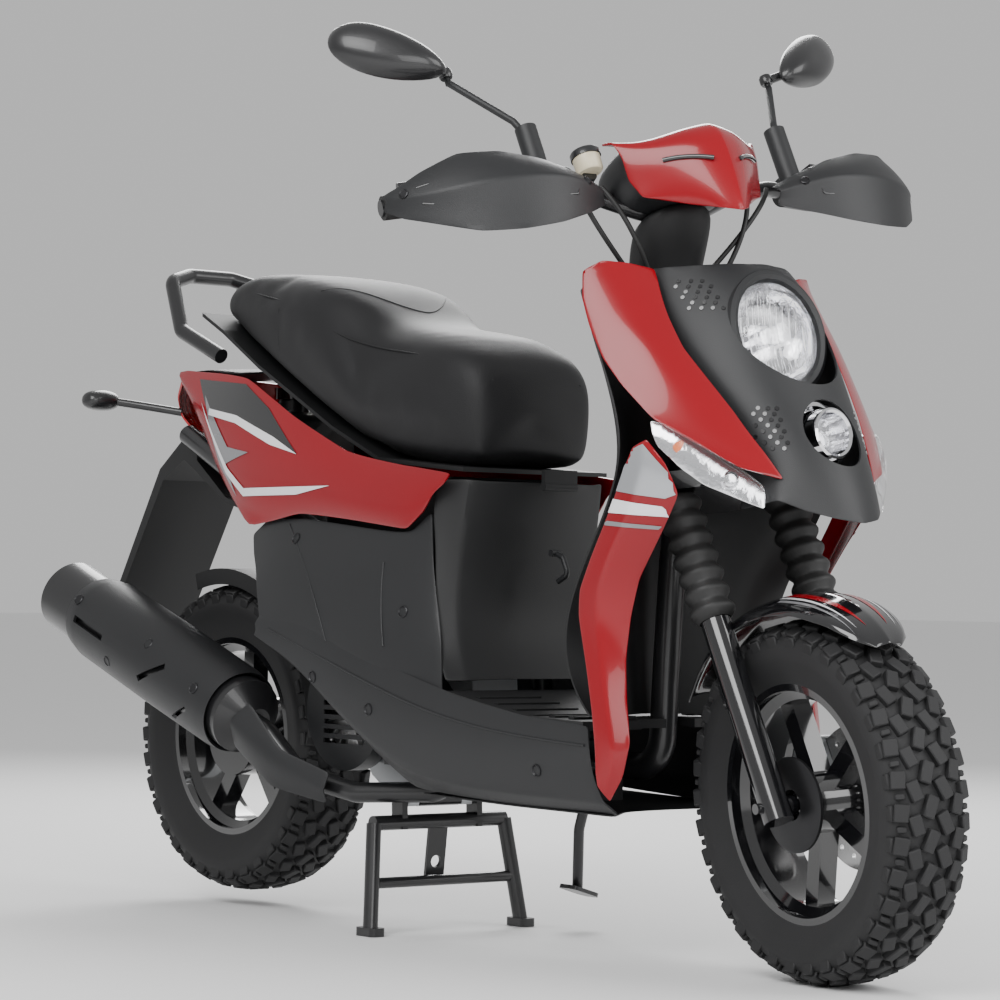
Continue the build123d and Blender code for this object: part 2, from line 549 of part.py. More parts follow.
cover_wall = 3.0
with BuildPart() as engine_covers:
    outline = [(crank_x + 10, crank_z - 84), (0, rear_axle_z - 54), (-30, rear_axle_z - 6), (-12, 350),
               (clutch_x, clutch_z + 76), (crank_x, crank_z + 74), (crank_x + 66, crank_z + 40),
               (crank_x + 76, crank_z - 30)]
    for shrink, y_top, mode in ((0, cover_out, Mode.ADD), (cover_wall, cover_out - cover_wall, Mode.SUBTRACT)):
        with BuildSketch(side(y_top)) as shell:
            with BuildLine():
                Polyline(*outline, close=True)
            make_face()
            fillet(shell.vertices(), 18)
            if shrink:
                offset(amount=-shrink, mode=Mode.REPLACE)
        extrude(shell.sketch, amount=y_top - arm_out - 0.2, mode=mode)
    with BuildSketch(cross(crank_x, crank_z, -122)) as cowl:
        Circle(92)
    extrude(cowl.sketch, amount=29.7)
    rod(at(crank_x, -119, crank_z), at(crank_x, -60, crank_z), 88, Mode.SUBTRACT)
    with BuildSketch(cross(crank_x, crank_z, -123)) as grille:
        with GridLocations(0, 14, 1, 8):
            Rectangle(100, 7)
    extrude(grille.sketch, amount=5, mode=Mode.SUBTRACT)
save(engine_covers, "engine_covers")

with BuildPart() as cylinder:
    start, finish_x = crank_x + 80.5, 604.0
    with BuildSketch(Plane(origin=at(start, 0, crank_z + 22), z_dir=(1, 0, 0.08), x_dir=(0, 1, 0))) as barrel:
        RectangleRounded(84, 84, 10)
    extrude(barrel.sketch, amount=finish_x - start)
    for step in range(6):
        with BuildSketch(Plane(origin=at(start + 10 + step * 9, 0, crank_z + 23), z_dir=(1, 0, 0.08),
                               x_dir=(0, 1, 0))) as fin:
            RectangleRounded(104, 104, 14)
        extrude(fin.sketch, amount=3)
save(cylinder, "cylinder")

muffler_front, muffler_back = at(240, -166, 296), at(-286, -166, 482)
muffler_r = 58.0
with BuildPart() as muffler:
    run = (muffler_back - muffler_front).normalized()
    rod(muffler_front + run * 30, muffler_back, muffler_r)
    with BuildSketch(Plane(origin=muffler_front, z_dir=run)) as neck:
        Circle(24)
    with BuildSketch(Plane(origin=muffler_front + run * 30.2, z_dir=run)) as shoulder:
        Circle(muffler_r)
    loft([neck.sketch.face(), shoulder.sketch.face()])
    pipe([muffler_front + run * 6, muffler_front - run * 30, at(335, -150, 222), at(440, -126, 203),
          at(550, -66, 208), at(590, -36, 240), at(590, -30, 300)], 15, 26)
    rod(muffler_back, muffler_back + run * 22, 16)
save(muffler, "muffler")

with BuildPart() as muffler_shield:
    heat = Plane(origin=muffler_front + run * 60, z_dir=run, x_dir=(0, -1, 0))
    with BuildSketch(heat) as shell:
        Circle(muffler_r + 9)
        Circle(muffler_r + 6, mode=Mode.SUBTRACT)
        with Locations((-60, 0)):
            Rectangle(100, 200, mode=Mode.SUBTRACT)
    extrude(shell.sketch, amount=470)
    for share in (0.15, 0.5, 0.85):
        stud = muffler_front + run * (60 + 470 * share)
        rod(stud + Vector(0, -muffler_r - 0.3, 0), stud + Vector(0, -muffler_r - 7, 0), 5)
save(muffler_shield, "muffler_shield")

def arm_top(x):
    """Height of the drive arm's top edge."""
    low, high = clutch_z + 74, crank_z + 72
    return low + (x - clutch_x) * (high - low) / (crank_x - clutch_x)


with BuildPart() as intake:
    with BuildSketch(side(148)) as box:
        with BuildLine():
            Polyline((90, 392), (290, 408), (312, 446), (248, 490), (120, 500), close=True)
        make_face()
        fillet(box.vertices(), 16)
    extrude(box.sketch, amount=60)
    pipe([at(284, 116, 446), at(380, 90, 466), at(430, 0, 452), at(480, 0, 440)], 20, 34)
    rod(at(478, 0, 440), at(520, 0, 430), 27)
    pipe([at(518, 0, 430), at(550, 0, 424), at(560, 0, 402)], 15, 14)
    for x, z in ((150, 396), (270, 406)):
        rod(at(x, 92, z + 8), at(x, 92, arm_top(x) + 0.9), 7)
save(intake, "intake")

hugger_in = rear_tyre_r + 18
with BuildPart() as rear_hugger:
    with BuildSketch(wheel_plane(rear_axle, side_y, Vector(sin(radians(88)), 0, cos(radians(88))))) as shell:
        with BuildLine():
            Polyline((-70, hugger_in - 22), (-67, hugger_in - 22), (-67, hugger_in), (67, hugger_in),
                     (67, hugger_in - 22), (70, hugger_in - 22), (70, hugger_in + 3), (-70, hugger_in + 3), close=True)
        make_face()
    revolve(shell.sketch, axis=Axis(origin=rear_axle, direction=side_y * -1), revolution_arc=104)
    with BuildSketch(side(arm_in - 0.5)) as stay:
        with BuildLine():
            Polyline((150, 340), (190, 346), (214, 420), (180, 452), close=True)
        make_face()
    extrude(stay.sketch, amount=6)
    with BuildSketch(side(arm_in - 0.5)) as foot_pad:
        with Locations((180, 398)):
            Rectangle(30, 60)
    extrude(foot_pad.sketch, amount=8)
save(rear_hugger, "rear_hugger")

# ---- stands ----
stand_tube = 11.0
with BuildPart() as centre_stand:
    rod(at(stand_x, -38, stand_z), at(stand_x, 38, stand_z), 14)
    rod(at(stand_x, -74, stand_z), at(stand_x, 74, stand_z), 8)
    for hand in (-1, 1):
        with BuildSketch(side(hand * 70 + 5)) as cheek:
            with BuildLine():
                Polyline((stand_x - 13, stand_z + 13), (stand_x + 13, stand_z + 13),
                         (stand_x + 16, 150), (stand_x - 10, 150), close=True)
            make_face()
        extrude(cheek.sketch, amount=10)
        with BuildSketch(Plane(origin=at(stand_foot_x, hand * stand_foot_y, 0), z_dir=(0, 0, 1))) as sole:
            RectangleRounded(44, 26, 8)
        extrude(sole.sketch, amount=12)
        rod(at(stand_foot_x, hand * stand_foot_y, 6), at(stand_x + 8, hand * 122, 160), stand_tube)
    rod(at(stand_x + 6, -123, 160), at(stand_x + 6, 123, 160), stand_tube)
    rod(at(489, -132, 74), at(489, 132, 74), 8)
    with BuildSketch(Plane(origin=at(stand_x + 2, 0, 160), z_dir=(1, 0, -0.12), x_dir=(0, 1, 0))) as strap:
        with Locations((0, -43)):
            Rectangle(34, 96)
        with Locations((0, -60)):
            Circle(9, mode=Mode.SUBTRACT)
    extrude(strap.sketch, amount=5)
save(centre_stand, "centre_stand")

with BuildPart() as side_stand:
    rod(at(640, 150.3, 240), at(640, 164, 240), 13)
    rod(at(640, 132, 240), at(640, 160, 240), 5)
    pipe([at(640, 159, 240), at(610, 158, 150), at(585, 178, 60)], 8, 40)
    with BuildSketch(Plane(origin=at(585, 180, 54), z_dir=(0, 0.3, 1))) as pad:
        RectangleRounded(56, 40, 12)
    extrude(pad.sketch, amount=6)
save(side_stand, "side_stand")

# ---- shock ----
shock_top, shock_low = at(shock_top_x, shock_y, shock_top_z), at(shock_low_x, shock_y, shock_low_z)
shock_run = (shock_top - shock_low).normalized()
shock_len = (shock_top - shock_low).length
spring_low, spring_top = 58.0, shock_len - 48
with BuildPart() as shock_body:
    rod(shock_top - side_y * 9, shock_top + side_y * 9, 14)
    rod(shock_top, shock_low + shock_run * (shock_len - 128), 13)
    rod(shock_low + shock_run * spring_top, shock_low + shock_run * (spring_top + 5), 25)
    rod(shock_top - side_y * 15, shock_top + side_y * 15, shock_pin_r + fit, Mode.SUBTRACT)
    rod(shock_low + shock_run * (shock_len - 26), shock_low + shock_run * 90, 6.1, Mode.SUBTRACT)
save(shock_body, "shock_body")

with BuildPart() as shock_rod:
    rod(shock_low - side_y * 9, shock_low + side_y * 9, 15)
    rod(shock_low, shock_low + shock_run * 160, 6)
    rod(shock_low + shock_run * (spring_low - 5), shock_low + shock_run * spring_low, 25)
    rod(shock_low - side_y * 12, shock_low + side_y * 12, shock_pin_r + shock_slack, Mode.SUBTRACT)
save(shock_rod, "shock_rod")

with BuildPart() as shock_spring:
    coils, wire = 7, 4.0
    height = spring_top - spring_low - 2 * wire - 1
    base = Plane(origin=shock_low + shock_run * (spring_low + wire + 0.5), z_dir=shock_run)
    coil = base.location * Helix(height / coils, height, 20)
    with BuildSketch(Plane(origin=coil @ 0, z_dir=coil % 0)) as end:
        Circle(wire)
    sweep(end.sketch, path=coil, is_frenet=True)
save(shock_spring, "shock_spring")

# ---- front bodywork ----
with BuildPart() as front_panels:
    skin([[(1046, -190, 938), (1062, -160, 936), (1076, -128, 930)],
          [(1033, -214, 905), (1080, -185, 898), (1120, -138, 876)],
          [(1052, -221, 860), (1112, -192, 850), (1160, -136, 822)],
          [(1082, -223, 820), (1150, -190, 796), (1214, -122, 764)],
          [(1116, -220, 788), (1196, -166, 742), (1262, -100, 690)]], wall)
    mirror(about=Plane.XZ)
save(front_panels, "front_panels")

with BuildPart() as leg_trims:
    skin([[(1132, -207, 686), (1146, -208, 692), (1156, -202, 696)],
          [(1078, -206, 600), (1130, -204, 610), (1180, -186, 612)],
          [(1022, -203, 505), (1064, -200, 515), (1110, -178, 520)],
          [(1036, -200, 400), (1056, -194, 400), (1082, -176, 400)],
          [(1052, -198, 300), (1072, -192, 300), (1094, -176, 300)],
          [(1058, -196, 252), (1064, -190, 244), (1070, -182, 236)]], wall)
    mirror(about=Plane.XZ)
save(leg_trims, "leg_trims")

lamp_r, lamp_face = 85.0, at(1184, 0, 850)
lamp_dir = Vector(0.972, 0, 0.233).normalized()
spot_r, spot_face = 47.0, at(1262, 0, 707)
spot_dir = Vector(0.985, 0, 0.17).normalized()
with BuildPart() as front_mask:
    skin([[(1082, -112, 936), (1140, -60, 942), (1158, 0, 944), (1140, 60, 942), (1082, 112, 936)],
          [(1124, -118, 872), (1172, -70, 890), (1190, 0, 900), (1172, 70, 890), (1124, 118, 872)],
          [(1168, -116, 816), (1206, -66, 836), (1220, 0, 842), (1206, 66, 836), (1168, 116, 816)],
          [(1222, -104, 758), (1250, -60, 772), (1262, 0, 778), (1250, 60, 772), (1222, 104, 758)],
          [(1266, -86, 690), (1296, -50, 704), (1306, 0, 708), (1296, 50, 704), (1266, 86, 690)],
          [(1288, -76, 648), (1316, -46, 640), (1334, 0, 640), (1316, 46, 640), (1288, 76, 648)],
          [(1280, -96, 612), (1330, -56, 590), (1352, 0, 584), (1330, 56, 590), (1280, 96, 612)]], -wall)
    rod(lamp_face - lamp_dir * 160, lamp_face + lamp_dir * 160, lamp_r + 2, Mode.SUBTRACT)
    rod(spot_face - spot_dir * 90, spot_face + spot_dir * 160, spot_r + 2, Mode.SUBTRACT)
save(front_mask, "front_mask")

with BuildPart() as headlight:
    rod(lamp_face - lamp_dir * 46, lamp_face, lamp_r)
    with BuildSketch(Plane(origin=lamp_face - lamp_dir * 46.2, z_dir=lamp_dir * -1)) as front:
        Circle(lamp_r - 6)
    with BuildSketch(Plane(origin=lamp_face - lamp_dir * 104, z_dir=lamp_dir * -1)) as back:
        Circle(26)
    loft([front.sketch.face(), back.sketch.face()])
    rod(lamp_face - lamp_dir * 50, lamp_face - lamp_dir * 40, lamp_r - 8)
    rod(lamp_face - lamp_dir * 116, lamp_face - lamp_dir * 100, 16)
save(headlight, "headlight")

with BuildPart() as spot_lamp:
    rod(spot_face - spot_dir * 70, spot_face, spot_r)
    rod(spot_face, spot_face + spot_dir * 32, 38)
save(spot_lamp, "spot_lamp")

with BuildPart() as front_signals:
    skin([[(1162, -196, 716), (1180, -186, 713), (1206, -168, 700), (1240, -126, 664)],
          [(1168, -196, 704), (1192, -184, 690), (1220, -162, 672), (1256, -112, 645)],
          [(1174, -193, 690), (1206, -178, 662), (1238, -148, 640), (1268, -104, 624)]], 3)
    with BuildSketch(Plane(origin=at(1196, -140, 668), z_dir=(0.75, -0.6, 0.2))) as bowl:
        RectangleRounded(70, 40, 10)
    extrude(bowl.sketch, amount=24)
    mirror(about=Plane.XZ)
save(front_signals, "front_signals")

with BuildPart() as inner_shield:
    skin([[(1024, -196, 905), (962, -150, 908), (896, -70, 910), (882, 0, 912), (896, 70, 910),
           (962, 150, 908), (1024, 196, 905)],
          [(1072, -206, 800), (1010, -150, 800), (940, -70, 802), (916, 0, 804), (940, 70, 802),
           (1010, 150, 800), (1072, 206, 800)],
          [(1100, -200, 690), (1044, -150, 690), (970, -70, 690), (936, 0, 690), (970, 70, 690),
           (1044, 150, 690), (1100, 200, 690)],
          [(1012, -192, 518), (1004, -140, 518), (968, -70, 518), (940, 0, 518), (968, 70, 518),
           (1004, 140, 518), (1012, 192, 518)],
          [(1034, -188, 340), (1020, -140, 338), (974, -70, 336), (940, 0, 336), (974, 70, 336),
           (1020, 140, 338), (1034, 188, 340)]], -wall)
    rod(at(860, lock_y, lock_z), at(1000, lock_y, lock_z), lock_r + gap, Mode.SUBTRACT)
save(inner_shield, "inner_shield")

with BuildPart() as footboard:
    with BuildSketch(side(deck_half_w)) as deck:
        with BuildLine():
            Polyline((728, 362), (897, 334), (1024, 331), (1024, 319), (897, 322), (728, 350), close=True)
        make_face()
    extrude(deck.sketch, amount=2 * deck_half_w)
    with Locations(at(990, 0, 326)):
        Box(94, 2 * tunnel_half, 40, mode=Mode.SUBTRACT)
    with Locations(at(tyre_room_x + 40, 0, 326)):
        Box(80, 2 * tyre_room_half, 40, mode=Mode.SUBTRACT)
    for x in range(780, 1000, 40):
        for hand in (-1, 1):
            with Locations(at(x, hand * 120, 332 + max(0, 897 - x) * 0.165)):
                Box(12, 110, 7)
save(footboard, "footboard")

with BuildPart() as belly_skirt:
    skin([[(300, -190, 458), (378, -191, 448), (456, -192, 420), (536, -194, 394), (722, -196, 352),
           (897, -196, 324), (1026, -195, 321)],
          [(280, -190, 442), (372, -191, 412), (450, -194, 378), (526, -196, 340), (676, -197, 288),
           (870, -196, 268), (1040, -190, 266)],
          [(262, -188, 426), (366, -190, 376), (440, -190, 330), (515, -190, 284), (630, -186, 218),
           (848, -180, 211), (1048, -172, 209)]], wall)
    mirror(about=Plane.XZ)
    with BuildSketch(Plane(origin=at(0, 0, belly_z - 2), z_dir=(0, 0, 1), x_dir=(1, 0, 0))) as tray:
        with BuildLine():
            Polyline((700, -178), (1044, -170), (1044, -tyre_room_half), (tyre_room_x, -tyre_room_half),
                     (tyre_room_x, tyre_room_half), (1044, tyre_room_half), (1044, 170), (700, 178), close=True)
        make_face()
    extrude(tray.sketch, amount=wall)
save(belly_skirt, "belly_skirt")

with BuildPart() as battery:
    with Locations(at(790, 0, 253)):
        Box(114, 70, 84)
    for y in (-22, 22):
        with Locations(at(750, y, 298)):
            Cylinder(6, 6)
save(battery, "battery")

# ---- rear bodywork ----
with BuildPart() as seat_front_cover:
    with BuildSketch(Plane(origin=at(0, 0, 372), z_dir=(0, 0, 1), x_dir=(1, 0, 0))) as low:
        with BuildLine():
            Polyline((634, -163), (690, -148), (722, -90), (730, 0), (722, 90), (690, 148), (634, 163),
                     (633, 159), (687, 144.5), (718.6, 88), (726.4, 0), (718.6, -88), (687, -144.5), (633, -159),
                     close=True)
        make_face()
    extrude(low.sketch, amount=278, taper=0)
save(seat_front_cover, "seat_front_cover")

with BuildPart() as bag_hook:
    rod(at(735.6, -9, hook_z), at(735.6, 9, hook_z), 5)
    pipe([at(735.6, 0, hook_z), at(752, 0, hook_z - 6), at(764, 0, hook_z - 30), at(742, 0, hook_z - 40)], 4, 8)
save(bag_hook, "bag_hook")

with BuildPart() as side_covers:
    skin([[(192, -146, 564), (244, -154, 586), (335, -160, 592), (460, -163, 582), (592, -164, 568)],
          [(236, -168, 520), (290, -174, 525), (385, -178, 520), (480, -180, 500), (592, -176, 480)],
          [(286, -184, 462), (335, -187, 466), (395, -188, 452), (480, -189, 422), (592, -188, 386)]], wall)
    mirror(about=Plane.XZ)
save(side_covers, "side_covers")

with BuildPart() as tail_panels:
    skin([[(-52, -100, 838), (66, -124, 830), (165, -136, 818), (305, -148, 748), (440, -156, 692), (600, -158, 664)],
          [(-58, -112, 830), (66, -136, 760), (176, -150, 704), (318, -162, 682), (455, -166, 644), (612, -166, 638)],
          [(-62, -106, 822), (66, -128, 690), (186, -148, 592), (330, -160, 616), (470, -164, 604), (625, -163, 612)]], wall)
    mirror(about=Plane.XZ)
save(tail_panels, "tail_panels")

with BuildPart() as storage_box:
    with BuildSketch(Plane(origin=at(0, 0, box_top_z), z_dir=(0, 0, -1), x_dir=(1, 0, 0))) as rim:
        with Locations((456, 0)):
            RectangleRounded(330, 236, 30)
    extrude(rim.sketch, amount=3)
    with BuildSketch(Plane(origin=at(0, 0, box_top_z), z_dir=(0, 0, -1), x_dir=(1, 0, 0))) as tub:
        with Locations((456, 0)):
            RectangleRounded(300, 206, 26)
    extrude(tub.sketch, amount=150)
    with BuildSketch(Plane(origin=at(0, 0, box_top_z + 1), z_dir=(0, 0, -1), x_dir=(1, 0, 0))) as hollow:
        with Locations((456, 0)):
            RectangleRounded(300 - 2 * wall, 206 - 2 * wall, 24)
    extrude(hollow.sketch, amount=151 - wall, mode=Mode.SUBTRACT)
save(storage_box, "storage_box")

with BuildPart() as fuel_tank:
    with BuildSketch(side(76)) as tank:
        with BuildLine():
            Polyline((20, 700), (60, tank_bottom_z), (150, tank_bottom_z), (150, 770), (40, 790), close=True)
        make_face()
        fillet(tank.vertices(), 12)
    extrude(tank.sketch, amount=152)
    rod(at(90, 0, 775), at(90, 0, 796), 24)
save(fuel_tank, "fuel_tank")

with BuildPart() as fuel_cap:
    rod(at(90, 0, 796.4), at(90, 0, 814), 30)
save(fuel_cap, "fuel_cap")

seat_top = [(28, 950), (70, 972), (187, 961), (300, 944), (400, 922), (490, 891), (580, 871), (680, 856), (738, 826), (752, 760)]
seat_low = [(746, 676), (690, 676), (622, 682), (493, 694), (375, 744), (298, 784), (185, 842), (88, 900), (30, 930)]
with BuildPart() as seat_cushion:
    with BuildSketch(side(142)) as pad:
        with BuildLine():
            Polyline(*seat_top, *seat_low, close=True)
        make_face()
    extrude(pad.sketch, amount=284)
save(seat_cushion, "seat_cushion")

with BuildPart() as seat_pan:
    with BuildSketch(side(134)) as base:
        with BuildLine():
            Polyline(*[(x, z - 1) for x, z in seat_low[1:]], *[(x, z - 7) for x, z in reversed(seat_low[1:])], close=True)
        make_face()
    extrude(base.sketch, amount=268)
    rod(at(seat_hinge_x, -30, seat_hinge_z), at(seat_hinge_x, 30, seat_hinge_z), 6)
    with Locations(at(seat_hinge_x, 0, seat_hinge_z + 12)):
        Box(8, 60, 24)
save(seat_pan, "seat_pan")

with BuildPart() as grab_rail:
    pipe([at(40, -104, 862), at(-60, -112, 906), at(-126, -88, 990), at(-148, -40, 1004), at(-148, 40, 1004),
          at(-126, 88, 990), at(-60, 112, 906), at(40, 104, 862)], 12, 24)
save(grab_rail, "grab_rail")

with BuildPart() as rear_lamps:
    with BuildSketch(side(74)) as lens:
        with BuildLine():
            Polyline((-70, 815), (-128, 800), (-140, 760), (-60, 742), close=True)
        make_face()
        fillet(lens.vertices(), 8)
    extrude(lens.sketch, amount=148)
    for hand in (-1, 1):
        rod(at(-104, hand * 60, 782), at(-146, hand * 168, 774), 9)
        rod(at(-134, hand * 196, 772), at(-150, hand * 166, 786), 20)
save(rear_lamps, "rear_lamps")

plate_top, plate_low = (-150, 706), (-318, 430)
with BuildPart() as rear_fender:
    with BuildSketch(side(78)) as flap:
        with BuildLine():
            Polyline((-62, 738), (-100, 738), (-168, 690), (-334, 424), (-322, 418), (-158, 672),
                     (-98, 704), (20, 634), (160, 598), (160, 605), (20, 642), (-62, 702), close=True)
        make_face()
    extrude(flap.sketch, amount=156)
save(rear_fender, "rear_fender")

with BuildPart() as ignition_lock:
    rod(at(930, lock_y, lock_z), at(976, lock_y, lock_z), lock_r)
save(ignition_lock, "ignition_lock")
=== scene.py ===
import json
import math

import bmesh
import bpy
from mathutils import Matrix, Vector, bvhtree


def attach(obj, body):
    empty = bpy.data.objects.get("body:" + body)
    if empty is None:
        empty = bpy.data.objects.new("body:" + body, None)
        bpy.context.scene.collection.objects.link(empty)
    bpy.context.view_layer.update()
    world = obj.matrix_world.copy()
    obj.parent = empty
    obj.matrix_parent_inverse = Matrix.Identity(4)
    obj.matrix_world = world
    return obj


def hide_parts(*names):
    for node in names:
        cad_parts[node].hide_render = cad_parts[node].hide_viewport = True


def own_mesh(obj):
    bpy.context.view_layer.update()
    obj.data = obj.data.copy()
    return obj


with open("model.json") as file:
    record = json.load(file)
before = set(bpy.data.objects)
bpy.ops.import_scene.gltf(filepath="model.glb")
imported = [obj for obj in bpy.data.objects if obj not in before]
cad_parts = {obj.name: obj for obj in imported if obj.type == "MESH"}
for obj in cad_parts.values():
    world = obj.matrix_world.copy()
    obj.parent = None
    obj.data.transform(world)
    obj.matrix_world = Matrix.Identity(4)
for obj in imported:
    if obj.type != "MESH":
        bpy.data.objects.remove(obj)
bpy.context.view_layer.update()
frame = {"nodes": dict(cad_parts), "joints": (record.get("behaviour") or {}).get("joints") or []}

bl_info = {
    "name": "Moped Scooter Looks",
    "version": (1, 0, 0), "blender": (4, 5, 0),
    "location": "View3D > Sidebar > Scooter",
    "description": "Dresses the scooter's frame with its body panels, seat, lamps, tyres and finishes",
    "category": "Object",
}

# ---- places, all worked out from the frame ----
JOINTS = {joint["name"]: joint for joint in frame["joints"]}
REAR_AXLE = Vector(JOINTS["rear_wheel_spin"]["pos_m"])
FRONT_AXLE = Vector(JOINTS["front_wheel_spin"]["pos_m"])
STEER_UP = Vector(JOINTS["steering_turn"]["axis"]).normalized()
STEER_LEFT = Vector(JOINTS["front_wheel_spin"]["axis"]).normalized()
STEER_AHEAD = STEER_LEFT.cross(STEER_UP).normalized()
STEER_FOOT = FRONT_AXLE - STEER_AHEAD * 0.0243 + STEER_UP * 0.0118
MADE = {}
SIDE_START = 400                # mm from the middle where a ray across the scooter starts
LAMP_HOLE, SPOT_HOLE = 86.5, 47.5       # mm, radii of the holes in the mask
SILENCER_FRONT, SILENCER_BACK = (240, -166, 296), (-286, -166, 482)
GAITER_LOW, GAITER_HIGH, FORK_TRAVEL = 248.5, 427.5, 75
SHOCK_TRAVEL = 90


def body_point(x, y, z):
    """A point in mm ahead of the rear axle, left of the middle and above the floor."""
    return Vector((REAR_AXLE.x + x / 1000, y / 1000, z / 1000))


def fork_point(f, y, s):
    """A point in mm in the turned fork's own frame."""
    return STEER_FOOT + (STEER_AHEAD * f + STEER_LEFT * y + STEER_UP * s) / 1000


# ---- materials ----
def new_material(name):
    material = bpy.data.materials.new(name)
    material.use_nodes = True
    shader = material.node_tree.nodes["Principled BSDF"]
    return material, material.node_tree.nodes, material.node_tree.links, shader


def add_variation(nodes, links, shader, colour, scale, amount):
    """Mixes a little darker and lighter tone into a colour, in patches of a given scale."""
    where = nodes.new("ShaderNodeTexCoord")
    patches = nodes.new("ShaderNodeTexNoise")
    patches.inputs["Scale"].default_value = scale
    patches.inputs["Detail"].default_value = 4
    ramp = nodes.new("ShaderNodeValToRGB")
    ramp.color_ramp.elements[0].position = 0.3
    ramp.color_ramp.elements[1].position = 0.7
    ramp.color_ramp.elements[0].color = [c * (1 - amount) for c in colour[:3]] + [1]
    ramp.color_ramp.elements[1].color = [min(1, c * (1 + amount)) for c in colour[:3]] + [1]
    links.new(where.outputs["Object"], patches.inputs["Vector"])
    links.new(patches.outputs["Fac"], ramp.inputs["Fac"])
    links.new(ramp.outputs["Color"], shader.inputs["Base Color"])
    return where, patches


def add_grain(nodes, links, shader, where, scale, depth, kind="noise"):
    """Adds a fine bump: grain of moulded plastic, or the pebbles of a vinyl."""
    if kind == "pebbles":
        grain = nodes.new("ShaderNodeTexVoronoi")
        grain.feature = "SMOOTH_F1"
        value = grain.outputs["Distance"]
    else:
        grain = nodes.new("ShaderNodeTexNoise")
        grain.inputs["Detail"].default_value = 3
        value = grain.outputs["Fac"]
    grain.inputs["Scale"].default_value = scale
    bump = nodes.new("ShaderNodeBump")
    bump.inputs["Strength"].default_value = 0.6
    bump.inputs["Distance"].default_value = depth
    links.new(where.outputs["Object"], grain.inputs["Vector"])
    links.new(value, bump.inputs["Height"])
    links.new(bump.outputs["Normal"], shader.inputs["Normal"])


def add_rough_patches(nodes, links, shader, patches, low, high):
    """Lets the roughness wander between two values, as handled surfaces do."""
    spread = nodes.new("ShaderNodeMapRange")
    spread.inputs["To Min"].default_value = low
    spread.inputs["To Max"].default_value = high
    links.new(patches.outputs["Fac"], spread.inputs["Value"])
    links.new(spread.outputs["Result"], shader.inputs["Roughness"])


def surface(name, colour, rough=(0.4, 0.5), metal=0.0, coat=0.0, grain=None, tone=0.12, patch=9.0,
            kind="noise", sheen=0.0, specular=0.5):
    """One procedural finish with tone patches, roughness patches and an optional grain."""
    material, nodes, links, shader = new_material(name)
    where, patches = add_variation(nodes, links, shader, colour, patch, tone)
    add_rough_patches(nodes, links, shader, patches, *rough)
    shader.inputs["Metallic"].default_value = metal
    shader.inputs["Coat Weight"].default_value = coat
    shader.inputs["Coat Roughness"].default_value = 0.03
    shader.inputs["Sheen Weight"].default_value = sheen
    shader.inputs["Specular IOR Level"].default_value = specular
    if grain:
        add_grain(nodes, links, shader, where, grain[0], grain[1], kind)
    return material


def lens_glass(name, tint, rough=0.04):
    """Clear moulded lens with faint flutes, thin enough to see the bowl through."""
    material, nodes, links, shader = new_material(name)
    where = nodes.new("ShaderNodeTexCoord")
    ripple = nodes.new("ShaderNodeTexNoise")
    ripple.inputs["Scale"].default_value = 25
    bump = nodes.new("ShaderNodeBump")
    bump.inputs["Strength"].default_value = 0.15
    bump.inputs["Distance"].default_value = 0.001
    links.new(where.outputs["Object"], ripple.inputs["Vector"])
    links.new(ripple.outputs["Fac"], bump.inputs["Height"])
    links.new(bump.outputs["Normal"], shader.inputs["Normal"])
    shader.inputs["Base Color"].default_value = (*tint, 1)
    shader.inputs["Roughness"].default_value = rough
    shader.inputs["IOR"].default_value = 1.2
    shader.inputs["Transmission Weight"].default_value = 0.95
    shader.inputs["Alpha"].default_value = 0.45
    return material


